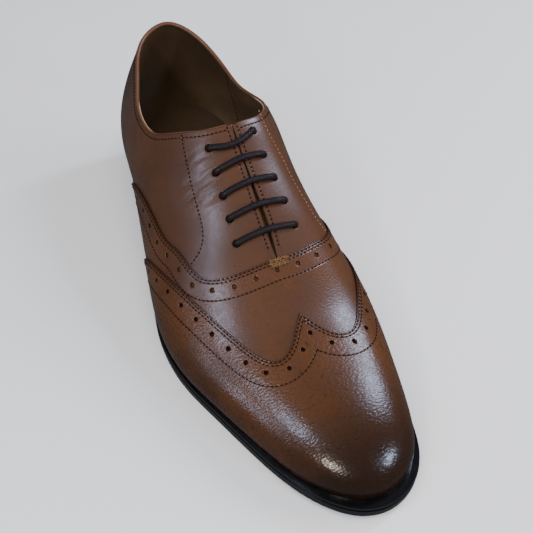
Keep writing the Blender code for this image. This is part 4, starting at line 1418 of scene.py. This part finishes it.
def rim_line(height, rise):
    """Points along the collar at a height over the last, raised a little along the shoe's side."""
    points, _ = skin(COLLAR_LINE[:, 0], COLLAR_LINE[:, 1], height)
    below, _ = skin(COLLAR_LINE[:, 0], COLLAR_LINE[:, 1] - 0.02, height)
    return resample(points + unit(points - below) * rise, 0.9 * MM)


bead_line = rim_line(BEAD_DEPTH, BEAD_RISE)
bead_radius = np.interp([p[1] for p in bead_line], COLLAR_BACK, BEAD_RADII)
tube("collar_bead", bead_line, bead_radius, 12, BEAD_HIDE)
cream_line = rim_line(CREAM_DEPTH, CREAM_RISE)
tube("lining_edge", cream_line, CREAM_RADIUS, 8, cream_edge())
print("collar line", round(float(run_along(bead_line)[-1]) / MM), "mm")

# %% [markdown]
# Inside, the quarter lining is joined to the heel lining by a stitched seam on each side.

# %% Lining seams
LINING_DEPTH = -LEATHER - LINING_GAP - LINING
LINING_SEAM = ((1.168, 0.520), (1.146, 0.420), (1.136, 0.300), (1.146, 0.200), (1.166, 0.110))
mirrored_seam = tuple((2 - station, up) for station, up in LINING_SEAM)
lining_rows = [(chart_row(table), LINING_DEPTH) for table in (LINING_SEAM, mirrored_seam)]
stitch_piece("lining_stitches", lining_rows, DARK_THREAD)

# %% [markdown]
# The foot of the slit takes all the strain when the shoe is opened. A bar tack, many crossed
# stitches of light thread, holds it together over the edge of the vamp. Sines of uneven steps
# scatter the stitches, so that they look sewn by hand and still come out the same each time.

# %% Bar tack
TACK_WIDTH, TACK_STITCHES = 9.5 * MM, 52
TACK_GRAIN = (1.25 * MM, 0.42 * MM, 0.40 * MM, 1)


def bar_tack(count):
    bm = bmesh.new()
    foot = surface((THROAT - 0.006, 1.0), 0.0)
    for k in range(count):
        share = k / (count - 1) - 0.5
        base, normal = outward_at(foot + Vector((share * TACK_WIDTH, 0, 0)))
        shift = Vector((0, (2.1 * math.sin(2.4 * k) - 0.2) * MM, 0))
        middle, normal = outward_at(base + shift)
        turn = Matrix.Rotation(1.4 * math.sin(1.7 * k) + 0.25, 4, "Z")
        lift = VAMP_HEIGHT + (0.25 + 0.15 * math.cos(3.1 * k)) * MM
        size = Matrix.Diagonal(TACK_GRAIN)
        bmesh.ops.create_icosphere(bm, subdivisions=2, radius=1.0,
                                   matrix=Matrix.Translation(middle + normal * lift) @ turn @ size)
    link("bar_tack", to_mesh(bm, "bar_tack"), TACK_THREAD)


TACK_THREAD = thread("tack_thread", (0.21, 0.110, 0.052), 0.6)
bar_tack(TACK_STITCHES)
print("bar tack:", TACK_STITCHES, "stitches")
